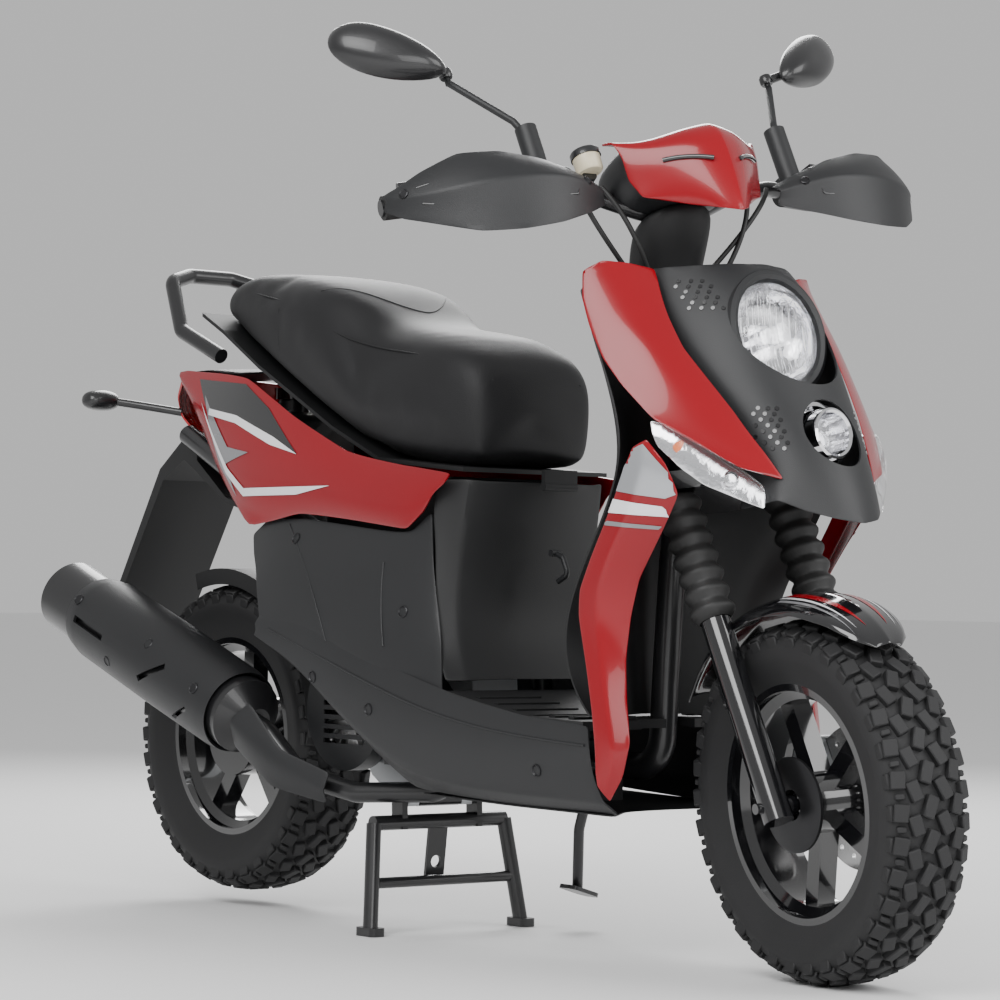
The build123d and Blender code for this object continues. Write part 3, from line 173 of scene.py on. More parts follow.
def make_materials(colours):
    """Every finish of the scooter, by name."""
    red, plastic, vinyl = colours.red, colours.plastic, colours.vinyl
    return {
        "red": surface("gloss_red_paint", red, (0.2, 0.26), coat=0.35, tone=0.05, patch=4, specular=0.35),
        "plastic": surface("grained_black_plastic", plastic, (0.42, 0.52), grain=(900, 0.0004), tone=0.1),
        "plastic_dark": surface("dark_matte_plastic", [c * 0.45 for c in plastic], (0.5, 0.6),
                                grain=(700, 0.0003)),
        "gloss_black": surface("gloss_black_paint", (0.006, 0.006, 0.007), (0.1, 0.16), coat=1.0, tone=0.1),
        "satin_black": surface("satin_black_paint", (0.012, 0.012, 0.013), (0.28, 0.38), coat=0.3,
                               grain=(300, 0.0002)),
        "vinyl": surface("seat_vinyl", vinyl, (0.46, 0.58), grain=(1100, 0.0004), kind="pebbles", sheen=0.02,
                         specular=0.35),
        "rubber": surface("tyre_rubber", (0.011, 0.011, 0.0118), (0.6, 0.78), grain=(420, 0.0004), tone=0.2,
                          patch=14),
        "soft_rubber": surface("soft_rubber", (0.012, 0.012, 0.012), (0.5, 0.62), grain=(600, 0.0002)),
        "alloy": surface("cast_alloy", (0.42, 0.43, 0.44), (0.36, 0.5), metal=1.0, grain=(500, 0.0003)),
        "steel": surface("turned_steel", (0.6, 0.6, 0.6), (0.22, 0.32), metal=1.0, grain=(800, 0.0001)),
        "chrome": surface("chrome", (0.82, 0.82, 0.84), (0.03, 0.07), metal=1.0, tone=0.03),
        "reflector": surface("lamp_reflector", (0.9, 0.9, 0.92), (0.06, 0.14), metal=1.0, grain=(60, 0.002),
                             tone=0.03),
        "mirror": surface("mirror_glass", (0.85, 0.87, 0.88), (0.01, 0.02), metal=1.0, tone=0.02),
        "white": surface("white_decal", (0.82, 0.82, 0.84), (0.2, 0.26), coat=0.8, tone=0.03),
        "grey": surface("grey_decal", (0.2, 0.2, 0.21), (0.24, 0.3), coat=0.8, tone=0.05),
        "silver": surface("silver_decal", (0.42, 0.43, 0.45), (0.25, 0.32), metal=0.6, coat=0.8, tone=0.05),
        "decal_black": surface("black_decal", (0.008, 0.008, 0.009), (0.18, 0.24), coat=0.8, tone=0.05),
        "tank": surface("cloudy_reservoir", (0.62, 0.55, 0.4), (0.3, 0.36), tone=0.1, patch=40),
        "red_lens": surface("red_lens", (0.4, 0.01, 0.012), (0.08, 0.12), coat=1.0, grain=(120, 0.001)),
        "amber": surface("amber_lens", (0.75, 0.16, 0.03), (0.1, 0.14), coat=0.6, grain=(120, 0.001)),
        "bolt": surface("black_bolt", (0.03, 0.03, 0.032), (0.3, 0.4), metal=0.7, tone=0.15),
        "glass": lens_glass("clear_lens", (0.97, 0.98, 1.0)),
    }


# ---- mesh making ----
def bake(obj):
    """Turns an object's live modifiers into plain mesh."""
    depsgraph = bpy.context.evaluated_depsgraph_get()
    mesh = bpy.data.meshes.new_from_object(obj.evaluated_get(depsgraph))
    obj.modifiers.clear()
    old, obj.data = obj.data, mesh
    bpy.data.meshes.remove(old)
    return obj


def smooth(obj, angle=38):
    for polygon in obj.data.polygons:
        polygon.use_smooth = True
    obj.data.set_sharp_from_angle(angle=math.radians(angle))


def object_from(name, bm, material, angle=38):
    mesh = bpy.data.meshes.new(name)
    bm.to_mesh(mesh)
    bm.free()
    obj = bpy.data.objects.new(name, mesh)
    bpy.context.scene.collection.objects.link(obj)
    obj.data.materials.append(MADE["materials"][material])
    smooth(obj, angle)
    return obj


def surface_tree(obj):
    """The surface of a finished mesh, ready to be met by rays."""
    return bvhtree.BVHTree.FromObject(obj, bpy.context.evaluated_depsgraph_get())


def met_from_side(tree, x, z, hand):
    """Where a ray across the scooter first meets a surface, and the surface's normal there."""
    hit, normal, _, _ = tree.ray_cast(body_point(x, hand * SIDE_START, z), Vector((0, -hand, 0)))
    return hit, normal


def across_middle(row):
    """A row from the left edge to the middle, given back from right edge to left edge."""
    return [(x, -y, z) for x, y, z in row] + [(x, y, z) for x, y, z in reversed(row[:-1])]


def take_away(obj, tool):
    """Cuts one mesh out of another and removes the cutter."""
    cut = obj.modifiers.new("cut", "BOOLEAN")
    cut.operation = "DIFFERENCE"
    cut.object = tool
    bake(obj)
    bpy.data.objects.remove(tool)


def settle(obj, body, nodes=()):
    """Puts a finished piece on its body, in place of the nodes that it stands for."""
    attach(obj, body)
    if nodes:
        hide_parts(*nodes)
    return obj


def join(name, parts, angle=38):
    """Joins finished meshes into one object and keeps their materials."""
    mesh = bpy.data.meshes.new(name)
    bm = bmesh.new()
    materials = []
    for part in parts:
        order = []
        for material in part.data.materials:
            if material not in materials:
                materials.append(material)
            order.append(materials.index(material))
        start = len(bm.faces)
        bm.from_mesh(part.data)
        bm.faces.ensure_lookup_table()
        for face in bm.faces[start:]:
            face.material_index = order[face.material_index]
        bpy.data.objects.remove(part)
    bm.to_mesh(mesh)
    bm.free()
    obj = bpy.data.objects.new(name, mesh)
    bpy.context.scene.collection.objects.link(obj)
    for material in materials:
        obj.data.materials.append(material)
    smooth(obj, angle)
    return obj


def panel(name, rows, material, thickness=2.5, outward=(1, 0, 0), place=body_point, pair=False,
          sharp_rows=(), sharp_cols=(), levels=3, rim=0.6):
    """A moulded shell through rows of points, with rounded edges and optional creases.
    A pair is the same shell on both sides, and then outward is that of the right one."""
    parts = []
    for hand in ((1, -1) if pair else (1,)):
        bm = bmesh.new()
        crease = bm.edges.layers.float.new("crease_edge")
        grid = [[bm.verts.new(place(x, y * hand, z)) for x, y, z in row] for row in rows]
        for r in range(len(grid) - 1):
            for c in range(len(grid[0]) - 1):
                bm.faces.new((grid[r][c], grid[r][c + 1], grid[r + 1][c + 1], grid[r + 1][c]))
        for r in sharp_rows:
            for c in range(len(grid[0]) - 1):
                bm.edges.get((grid[r][c], grid[r][c + 1]))[crease] = 0.85
        for c in sharp_cols:
            for r in range(len(grid) - 1):
                bm.edges.get((grid[r][c], grid[r + 1][c]))[crease] = 0.85
        for vert in (grid[0][0], grid[0][-1], grid[-1][0], grid[-1][-1]):
            for edge in vert.link_edges:
                edge[crease] = max(edge[crease], rim)
        bm.normal_update()
        facing = sum((face.normal * face.calc_area() for face in bm.faces), Vector())
        away = Vector((outward[0], outward[1] * hand, outward[2]))
        if facing.dot(away) < 0:
            bmesh.ops.reverse_faces(bm, faces=bm.faces)
        obj = object_from(name, bm, material)
        shell = obj.modifiers.new("wall", "SOLIDIFY")
        shell.thickness = thickness / 1000
        shell.offset = -1
        shell.edge_crease_rim = 0.5
        shell.use_even_offset = True
        rounder = obj.modifiers.new("round", "SUBSURF")
        rounder.levels = rounder.render_levels = levels
        bake(obj)
        parts.append(obj)
    return join(name, parts) if pair else parts[0]


def loft(name, rings, material, levels=2, caps=True, angle=50, sharp=()):
    """A closed form through rings of points, capped at both ends and subdivided."""
    bm = bmesh.new()
    crease = bm.edges.layers.float.new("crease_edge")
    loops = [[bm.verts.new(point) for point in ring] for ring in rings]
    count = len(loops[0])
    for a, b in zip(loops, loops[1:]):
        for i in range(count):
            bm.faces.new((a[i], a[(i + 1) % count], b[(i + 1) % count], b[i]))
    if caps:
        bm.faces.new(list(reversed(loops[0])))
        bm.faces.new(loops[-1])
    for r in sharp:
        for i in range(count):
            bm.edges.get((loops[r][i], loops[r][(i + 1) % count]))[crease] = 0.8
    bmesh.ops.recalc_face_normals(bm, faces=bm.faces)
    obj = object_from(name, bm, material, angle)
    if levels:
        rounder = obj.modifiers.new("round", "SUBSURF")
        rounder.levels = rounder.render_levels = levels
        bake(obj)
        smooth(obj, angle)
    return obj


def turned(name, origin, direction, profile, material, segments=64, angle=30):
    """A turned piece: (along, radius) points spun round a line."""
    direction = Vector(direction).normalized()
    side = direction.orthogonal().normalized()
    other = direction.cross(side)
    bm = bmesh.new()
    rings = []
    for along, radius in profile:
        centre = origin + direction * along / 1000
        if radius <= 0.001:
            rings.append([bm.verts.new(centre)])
            continue
        rings.append([bm.verts.new(centre + (side * math.cos(t) + other * math.sin(t)) * radius / 1000)
                      for t in (2 * math.pi * i / segments for i in range(segments))])
    for a, b in zip(rings, rings[1:]):
        for i in range(segments):
            j = (i + 1) % segments
            corners = [a[i % len(a)], a[j % len(a)], b[j % len(b)], b[i % len(b)]]
            corners = list(dict.fromkeys(corners))
            if len(corners) > 2:
                bm.faces.new(corners)
    bmesh.ops.recalc_face_normals(bm, faces=bm.faces)
    return object_from(name, bm, material, angle)


def tube(name, points, radius, material, smooth_line=True):
    """A round bar or hose along points, as mesh."""
    curve = bpy.data.curves.new(name, "CURVE")
    curve.dimensions = "3D"
    curve.bevel_depth = radius / 1000
    curve.bevel_resolution = 4
    curve.resolution_u = 12
    curve.use_fill_caps = True
    spline = curve.splines.new("NURBS" if smooth_line else "POLY")
    spline.points.add(len(points) - 1)
    for slot, point in zip(spline.points, points):
        slot.co = (*point, 1)
    if smooth_line:
        spline.order_u = 3
        spline.use_endpoint_u = True
    obj = bpy.data.objects.new(name, curve)
    bpy.context.scene.collection.objects.link(obj)
    depsgraph = bpy.context.evaluated_depsgraph_get()
    mesh = bpy.data.meshes.new_from_object(obj.evaluated_get(depsgraph))
    bpy.data.objects.remove(obj)
    made = bpy.data.objects.new(name, mesh)
    bpy.context.scene.collection.objects.link(made)
    made.data.materials.clear()
    made.data.materials.append(MADE["materials"][material])
    smooth(made)
    return made


def decal(name, target, outline, hand, material, lift=1.1, step=5):
    """A thin film on a panel: a side-view outline laid on the panel's outer face."""
    tree = surface_tree(target)
    bm = bmesh.new()
    bm.faces.new([bm.verts.new((x, 0, z)) for x, z in outline])
    for axis in (0, 2):
        low = min(v.co[axis] for v in bm.verts)
        high = max(v.co[axis] for v in bm.verts)
        normal = Vector((1, 0, 0)) if axis == 0 else Vector((0, 0, 1))
        for k in range(1, int((high - low) / step) + 1):
            point = normal * (low + k * step)
            bmesh.ops.bisect_plane(bm, geom=bm.verts[:] + bm.edges[:] + bm.faces[:], plane_co=point,
                                   plane_no=normal)
    bmesh.ops.triangulate(bm, faces=bm.faces)
    missed = []
    for vert in bm.verts:
        hit, normal = met_from_side(tree, vert.co.x, vert.co.z, hand)
        if hit is None:
            missed.append(vert)
            continue
        vert.co = hit + normal * lift / 1000
    bmesh.ops.delete(bm, geom=missed, context="VERTS")
    bm.normal_update()
    if sum(face.normal.y for face in bm.faces) * hand < 0:
        bmesh.ops.reverse_faces(bm, faces=bm.faces)
    return object_from(name, bm, material)


# ---- repeated pieces by Geometry Nodes ----
def ring_tree(material):
    """Blocks in a ring round Z, each given its size, twist and tilt."""
    tree = bpy.data.node_groups.new("ring_of_blocks", "GeometryNodeTree")
    sockets = {}
    for label, kind, default in (("Count", "NodeSocketInt", 36), ("Radius", "NodeSocketFloat", 0.2),
                                 ("Shift", "NodeSocketFloat", 0.0),
                                 ("Size", "NodeSocketVector", (0.01, 0.02, 0.02)),
                                 ("Twist", "NodeSocketFloat", 0.0), ("Tilt", "NodeSocketFloat", 0.0),
                                 ("Start", "NodeSocketFloat", 0.0)):
        socket = tree.interface.new_socket(label, in_out="INPUT", socket_type=kind)
        socket.default_value = default
        sockets[label] = socket.identifier
    tree.interface.new_socket("Geometry", in_out="OUTPUT", socket_type="NodeSocketGeometry")
    nodes, links = tree.nodes, tree.links
    inputs, outputs = nodes.new("NodeGroupInput"), nodes.new("NodeGroupOutput")
    circle = nodes.new("GeometryNodeMeshCircle")
    cube = nodes.new("GeometryNodeMeshCube")
    index = nodes.new("GeometryNodeInputIndex")
    step = nodes.new("ShaderNodeMath")
    step.operation = "DIVIDE"
    step.inputs[0].default_value = 2 * math.pi
    turn = nodes.new("ShaderNodeMath")
    turn.operation = "MULTIPLY"
    euler = nodes.new("ShaderNodeCombineXYZ")
    place = nodes.new("GeometryNodeInstanceOnPoints")
    spread = nodes.new("ShaderNodeCombineXYZ")
    spin = nodes.new("ShaderNodeCombineXYZ")
    move = nodes.new("GeometryNodeTransform")
    real = nodes.new("GeometryNodeRealizeInstances")
    paint = nodes.new("GeometryNodeSetMaterial")
    paint.inputs["Material"].default_value = material
    links.new(inputs.outputs["Count"], circle.inputs["Vertices"])
    links.new(inputs.outputs["Radius"], circle.inputs["Radius"])
    links.new(inputs.outputs["Size"], cube.inputs["Size"])
    links.new(inputs.outputs["Count"], step.inputs[1])
    links.new(index.outputs["Index"], turn.inputs[0])
    links.new(step.outputs["Value"], turn.inputs[1])
    links.new(inputs.outputs["Twist"], euler.inputs["X"])
    links.new(inputs.outputs["Tilt"], euler.inputs["Y"])
    links.new(turn.outputs["Value"], euler.inputs["Z"])
    links.new(circle.outputs["Mesh"], place.inputs["Points"])
    links.new(cube.outputs["Mesh"], place.inputs["Instance"])
    links.new(euler.outputs["Vector"], place.inputs["Rotation"])
    links.new(inputs.outputs["Shift"], spread.inputs["Z"])
    links.new(inputs.outputs["Start"], spin.inputs["Z"])
    links.new(place.outputs["Instances"], move.inputs["Geometry"])
    links.new(spread.outputs["Vector"], move.inputs["Translation"])
    links.new(spin.outputs["Vector"], move.inputs["Rotation"])
    links.new(move.outputs["Geometry"], real.inputs["Geometry"])
    links.new(real.outputs["Geometry"], paint.inputs["Geometry"])
    links.new(paint.outputs["Geometry"], outputs.inputs["Geometry"])
    return tree, sockets


def ring_of_blocks(name, ring, centre, axle, values, bevel=0.0):
    """One ring of blocks round an axle, baked to plain mesh and put in its place."""
    tree, sockets = ring
    mesh = bpy.data.meshes.new(name)
    obj = bpy.data.objects.new(name, mesh)
    bpy.context.scene.collection.objects.link(obj)
    modifier = obj.modifiers.new("ring", "NODES")
    modifier.node_group = tree
    for label, value in values.items():
        modifier[sockets[label]] = value
    if bevel:
        rounder = obj.modifiers.new("edges", "BEVEL")
        rounder.width = bevel
        rounder.segments = 1
    bake(obj)
    axle = Vector(axle).normalized()
    across = axle.orthogonal().normalized()
    turn = Matrix((across, axle.cross(across), axle)).transposed().to_4x4()
    obj.data.transform(Matrix.Translation(centre) @ turn)
    return obj


def make_tyre(name, centre, axle, radius, width, body, node):
    """A block-tread tyre: smooth carcass, two centre rows, two middle rows and two shoulder rows."""
    half = width / 2
    under = radius - 8
    profile = [(-47.5, 153), (-50, 166), (-half + 3, radius - 52), (-half, radius - 38),
               (-half + 4, radius - 25),
               (-half + 16, under - 6), (-half + 34, under - 1), (0, under), (half - 34, under - 1),
               (half - 16, under - 6), (half - 4, radius - 25), (half, radius - 38), (half - 3, radius - 52),
               (50, 166), (47.5, 153), (38, 153), (40, 166), (half - 9, radius - 45),
               (half - 14, radius - 30),
               (half - 36, under - 9), (-half + 36, under - 9), (-half + 14, radius - 30),
               (-half + 9, radius - 45), (-40, 166), (-38, 153), (-47.5, 153)]
    carcass = turned(name + "_carcass", centre, axle, profile, "rubber", segments=128, angle=50)
    bm = bmesh.new()
    bm.from_mesh(carcass.data)
    bmesh.ops.remove_doubles(bm, verts=bm.verts, dist=0.00001)
    bmesh.ops.recalc_face_normals(bm, faces=bm.faces)
    bm.to_mesh(carcass.data)
    bm.free()
    ring = ring_tree(MADE["materials"]["rubber"])
    parts = [carcass]
    count = 34
    pitch = 2 * math.pi / count
    for sign in (-1, 1):
        rows = (
            (11, under + 1.5, (0.013, 0.029, 0.017), 0.42, 0.0, 0.0),
            (31, under - 1.5, (0.014, 0.026, 0.017), -0.3, 0.16, 0.5),
            (half - 13, under - 9, (0.014, 0.023, 0.02), 0.12, 0.5, 0.12),
            (half - 13, under - 9, (0.012, 0.008, 0.013), 0.0, 0.5, 0.62),
            (half - 3.2, radius - 27, (0.016, 0.02, 0.006), 0.0, 0.2, 0.12),
        )
        for k, (y, r, size, twist, tilt, phase) in enumerate(rows):
            values = {"Count": count, "Radius": r / 1000, "Shift": sign * y / 1000, "Size": size,
                      "Twist": twist * sign, "Tilt": -tilt * sign,
                      "Start": pitch * (phase + 0.5 * (sign > 0))}
            parts.append(ring_of_blocks(f"{name}_{k}_{sign}", ring, centre, axle, values, bevel=0.0016))
    tyre = join(name, parts, 40)
    settle(tyre, body, [node])
    return tyre


# ---- pieces ----
def puff(obj, voxel=0.0065, inset=0.003, cap=0.009, frames=20):
    """Swells a closed form as sewn padding by a short cloth run, each point held within the cap."""
    remesh = obj.modifiers.new("voxels", "REMESH")
    remesh.mode = "VOXEL"
    remesh.voxel_size = voxel
    bake(obj)
    normals = [vert.normal.copy() for vert in obj.data.vertices]
    for vert, normal in zip(obj.data.vertices, normals):
        vert.co -= normal * inset
    start = [vert.co.copy() for vert in obj.data.vertices]
    cloth = obj.modifiers.new("padding", "CLOTH")
    cloth.settings.use_pressure = True
    cloth.settings.uniform_pressure_force = 4
    cloth.settings.effector_weights.gravity = 0
    scene = bpy.context.scene
    for number in range(1, frames + 1):
        scene.frame_set(number)
    bake(obj)
    scene.frame_set(1)
    for vert, before in zip(obj.data.vertices, start):
        move = vert.co - before
        if move.length > cap:
            vert.co = before + move * (cap / move.length)
    ease = obj.modifiers.new("ease", "SMOOTH")
    ease.factor = 0.5
    ease.iterations = 24
    rounder = obj.modifiers.new("rounder", "SUBSURF")
    rounder.levels = 1
    bake(obj)


def make_cushion():
    """The two-level seat: broad pillion part, step, and narrower nose."""
    stations = [(18, 962, 930, 84), (34, 984, 924, 104), (80, 990, 902, 124), (187, 981, 843, 141),
                (290, 970, 786, 148), (350, 956, 752, 148), (402, 928, 726, 146), (452, 893, 704, 143),
                (520, 882, 686, 140), (590, 872, 680, 135), (648, 858, 676, 127), (688, 836, 676, 114),
                (704, 796, 690, 98)]
    rings = []
    for x, top, low, half in stations:
        tall = top - low
        shape = [(0, 1.0, 0), (0.42, 1.0, -2), (0.72, 1.0, -8), (0.9, 1.0, -22), (0.985, 1.0, -44),
                 (1.0, 0.45, 0), (0.985, 0.16, 0), (0.94, 0.02, 0), (0.6, 0.04, 0)]
        right = []
        for share, rise, drop in shape:
            fall = drop * min(1.0, tall / 90)
            right.append((half * share, low + tall * rise + fall))
        ring = [body_point(x, -y, z) for y, z in right]
        ring += [body_point(x, 0, low + tall * 0.06)]
        ring += [body_point(x, y, z) for y, z in reversed(right[1:])]
        rings.append(ring)
    cushion = loft("seat_cushion_cover", rings, "vinyl", levels=3, angle=60)
    puff(cushion)
    cushion.data.materials.clear()
    cushion.data.materials.append(MADE["materials"]["vinyl"])
    tree = surface_tree(cushion)
    seams = []
    edge = [(60, 966), (140, 955), (230, 938), (310, 918), (380, 880), (460, 856), (560, 842), (640, 826),
            (690, 800)]
    lines = {"edge_right": (-1, edge), "edge_left": (1, edge)}
    for hand, name in ((-1, "right"), (1, "left")):
        lines["drop_" + name] = (hand, [(236, 924), (232, 890), (236, 850), (246, 826)])
        lines["nose_" + name] = (hand, [(632, 830), (646, 780), (646, 730), (640, 690)])
    for name, (hand, line) in lines.items():
        route = []
        for x, z in line:
            hit, _ = met_from_side(tree, x, z, hand)
            if hit is not None:
                route.append(hit)
        seams.append(tube("seam_" + name, route, 1.1, "vinyl"))
    for name, x0, x1 in (("step", 322, 430),):
        route = []
        for k in range(-10, 11):
            y = k / 10 * 118
            x = x1 - (x1 - x0) * abs(k / 10) ** 1.6
            hit = tree.ray_cast(body_point(x, y, 1200), Vector((0, 0, -1)))[0]
            if hit is not None:
                route.append(hit)
        seams.append(tube("seam_" + name, route, 1.1, "vinyl"))
    cover = join("seat_cover", [cushion] + seams, 60)
    settle(cover, "seat", ["seat_cushion"])


def make_front_bodywork():
    """Red upper panels, red leg trims, the mask and its grilles."""
    upper = [[(1046, -188, 940), (1062, -158, 938), (1078, -124, 931)],
             [(1031, -211, 925), (1066, -180, 918), (1098, -132, 905)],
             [(1038, -219, 890), (1086, -190, 880), (1128, -138, 862)],
             [(1056, -222, 852), (1116, -190, 842), (1156, -138, 822)],
             [(1084, -223, 808), (1150, -182, 798), (1190, -126, 782)],
             [(1118, -219, 772), (1186, -168, 756), (1226, -112, 738)],
             [(1164, -205, 728), (1218, -156, 708), (1258, -98, 692)],
             [(1254, -130, 664), (1270, -104, 657), (1285, -82, 650)]]
    panels = panel("front_upper_panels", upper, "red", 3, (0.6, -0.8, 0), pair=True, sharp_cols=())
    settle(panels, "chassis", ["front_panels"])
    trim = [[(1132, -207, 690), (1146, -206, 696), (1154, -202, 700)],
            [(1107, -206, 650), (1152, -206, 668), (1178, -190, 668)],
            [(1077, -205, 598), (1132, -204, 620), (1196, -178, 630)],
            [(1046, -203, 550), (1092, -204, 562), (1150, -172, 572)],
            [(1020, -201, 504), (1062, -202, 512), (1110, -170, 520)],
            [(1018, -200, 470), (1054, -199, 470), (1092, -168, 470)],
            [(1034, -200, 410), (1062, -195, 412), (1083, -168, 415)],
            [(1046, -199, 350), (1072, -193, 350), (1086, -168, 360)],
            [(1051, -198, 310), (1082, -192, 302), (1098, -172, 305)],
            [(1055, -197, 270), (1078, -190, 262), (1088, -176, 262)],
            [(1058, -195, 248), (1064, -190, 238), (1069, -182, 228)]]
    trims = panel("lower_leg_trims", trim, "red", 3, (0.2, -1, 0), pair=True, sharp_cols=(1,))
    settle(trims, "chassis", ["leg_trims"])
    blocks = []
    for hand in (-1, 1):
        blocks.append(decal("trim_block", trims,
                            [(1100, 634), (1128, 686), (1150, 694), (1186, 650), (1196, 632),
                             (1172, 624)], hand, "silver"))
        blocks.append(decal("trim_stripe", trims, [(1084, 606), (1094, 624), (1166, 614), (1178, 600)], hand,
                            "white"))
        blocks.append(decal("trim_line", trims, [(1072, 590), (1076, 596), (1166, 588), (1172, 583)], hand,
                            "grey"))
    settle(join("leg_trim_stripes", blocks), "chassis")
    mask_rows = []
    for row in (((1082, 112, 936), (1120, 86, 938), (1146, 50, 941), (1158, 0, 943)),
                ((1106, 120, 896), (1150, 88, 904), (1180, 50, 914), (1192, 0, 920)),
                ((1136, 122, 856), (1180, 90, 866), (1206, 50, 876), (1216, 0, 882)),
                ((1170, 118, 812), (1208, 88, 822), (1228, 50, 832), (1236, 0, 836)),
                ((1206, 108, 770), (1236, 82, 776), (1252, 46, 780), (1260, 0, 782)),
                ((1246, 92, 716), (1268, 74, 722), (1284, 42, 726), (1292, 0, 728)),
                ((1280, 80, 660), (1300, 66, 662), (1318, 40, 664), (1328, 0, 664)),
                ((1284, 92, 622), (1312, 70, 608), (1338, 40, 598), (1352, 0, 592))):
        edge = row[0]
        flange = ((edge[0] - 62, edge[1] + 8, edge[2] - 10), (edge[0] - 18, edge[1] + 4, edge[2] - 3))
        row = flange + row[1:] if edge[1] < 60 else flange + row
        mask_rows.append(across_middle(row))
    mask = panel("front_mask_shell", mask_rows, "plastic", 3, (1, 0, 0.2))
    for centre, direction, radius in ((MADE["lamp"], MADE["lamp_dir"], LAMP_HOLE),
                                      (MADE["spot"], MADE["spot_dir"], SPOT_HOLE)):
        tool = turned("hole_tool", centre, direction, [(-60, 0), (-60, radius), (120, radius), (120, 0)],
                      "plastic", 64)
        take_away(mask, tool)
    smooth(mask, 40)
    settle(mask, "chassis", ["front_mask"])
    make_honeycomb(mask)


def make_honeycomb(mask):
    """Recessed hexagons on the mask, each side of the headlight and of the spot lamp."""
    tree = surface_tree(mask)
    bm = bmesh.new()
    fields = (((-112, -84), (876, 926)), ((84, 112), (876, 926)), ((-92, -66), (690, 752)),
              ((66, 92), (690, 752)))
    for (y0, y1), (z0, z1) in fields:
        rows = int((z1 - z0) / 7.5)
        for r in range(rows):
            shift = 4.4 if r % 2 else 0
            y = y0 + shift
            while y < y1:
                start = body_point(1500, y, z0 + r * 7.5)
                hit, normal, _, _ = tree.ray_cast(start, Vector((-1, 0, 0)))
                y += 8.8
                if hit is None or normal.x < 0.2:
                    continue
                turn = normal.to_track_quat("Z", "Y").to_matrix().to_4x4()
                place = Matrix.Translation(hit + normal * 0.0003) @ turn
                bmesh.ops.create_cone(bm, cap_ends=True, segments=6, radius1=0.0037, radius2=0.0031,
                                      depth=0.0016, matrix=place)
    settle(object_from("mask_honeycomb", bm, "gloss_black", 20), "chassis")


def make_lamps():
    """Headlight, spot lamp and the two front signals."""
    lamp, direction = MADE["lamp"], MADE["lamp_dir"]
    bezel = turned("headlight_bezel", lamp, direction, [(-60, 80), (-60, 88), (-8, 88.5), (2, 86), (5, 80),
                                                        (3, 74), (-6, 71), (-60, 72), (-60, 80)], "plastic",
                   96)
    bowl = turned("headlight_bowl", lamp, direction,
                  [(-8, 71), (-16, 70), (-34, 62), (-48, 48), (-56, 30), (-58, 15),
                   (-62, 15), (-62, 40), (-50, 64), (-14, 74), (-8, 71)],
                  "reflector", 96, 20)
    cap = turned("headlight_bulb_cap", lamp, direction, [(-58, 13), (-30, 13), (-24, 11), (-22, 0)], "chrome",
                 32)
    ribs = []
    for k in range(-5, 6):
        offset = Vector((0, 1, 0)) * k * 0.011
        half = math.sqrt(max(0.0, 0.064 ** 2 - offset.length ** 2)) * 0.9
        rise = direction.cross(Vector((0, 1, 0))).normalized()
        ribs.append(tube(f"flute_{k}", [lamp - direction * 0.016 + offset - rise * half,
                                        lamp - direction * 0.03 + offset,
                                        lamp - direction * 0.016 + offset + rise * half], 0.7, "reflector"))
    head = join("headlight_unit", [bezel, bowl, cap] + ribs, 30)
    settle(head, "chassis", ["headlight"])
    lens = turned("headlight_lens", lamp, direction,
                  [(-7, 71.5), (1, 69), (8, 60), (14, 42), (17, 20), (18, 0)],
                  "glass", 96, 60)
    settle(lens, "chassis")
    spot, forward = MADE["spot"], MADE["spot_dir"]
    rim = turned("spot_lamp_rim", spot, forward,
                 [(-60, 44), (-60, 49.5), (-2, 50), (4, 47), (3, 42), (-4, 40),
                  (-10, 39), (-10, 37), (24, 35), (31, 34), (33, 31),
                  (30, 28), (12, 26), (-2, 20), (-6, 0)], "chrome", 72, 25)
    settle(rim, "chassis", ["spot_lamp"])
    collar = turned("spot_lamp_collar", spot, forward,
                    [(-46, 50), (-46, 60), (-30, 59), (-6, 54), (-1, 51), (-6, 50),
                     (-46, 50)], "plastic", 72)
    settle(collar, "chassis")
    eye = turned("spot_lamp_lens", spot, forward, [(20, 27.5), (26, 25), (31, 16), (33, 0)], "glass", 64, 60)
    settle(eye, "chassis")
    lens_rows = [[(1162, -203, 724), (1186, -192, 718), (1210, -174, 702), (1246, -130, 668),
                  (1270, -104, 642)],
                 [(1170, -206, 708), (1198, -194, 694), (1224, -172, 676), (1258, -128, 650),
                  (1276, -106, 630)],
                 [(1176, -203, 692), (1206, -184, 660), (1226, -166, 640), (1258, -128, 622),
                  (1277, -108, 612)]]
    lens = panel("front_signal_lenses", lens_rows, "glass", 2, (0.6, -0.8, 0), pair=True)
    settle(lens, "chassis", ["front_signals"])
    back_rows = [[(x - 14, y + 12 * (1 if y < 0 else -1), z) for x, y, z in row] for row in lens_rows]
    bowl = panel("front_signal_reflectors", back_rows, "reflector", 2, (0.6, -0.8, 0), pair=True)
    bulbs = []
    for hand in (-1, 1):
        for x, y, z, material in ((1190, 176, 690, "amber"), (1240, 134, 648, "reflector")):
            bulbs.append(turned("signal_bulb", body_point(x - 10, hand * (y - 8), z),
                                Vector((0.8, hand * 0.6, 0)),
                                [(-6, 12), (4, 12), (10, 8), (12, 0)], material, 32))
    settle(join("front_signal_inner", [bowl] + bulbs), "chassis")


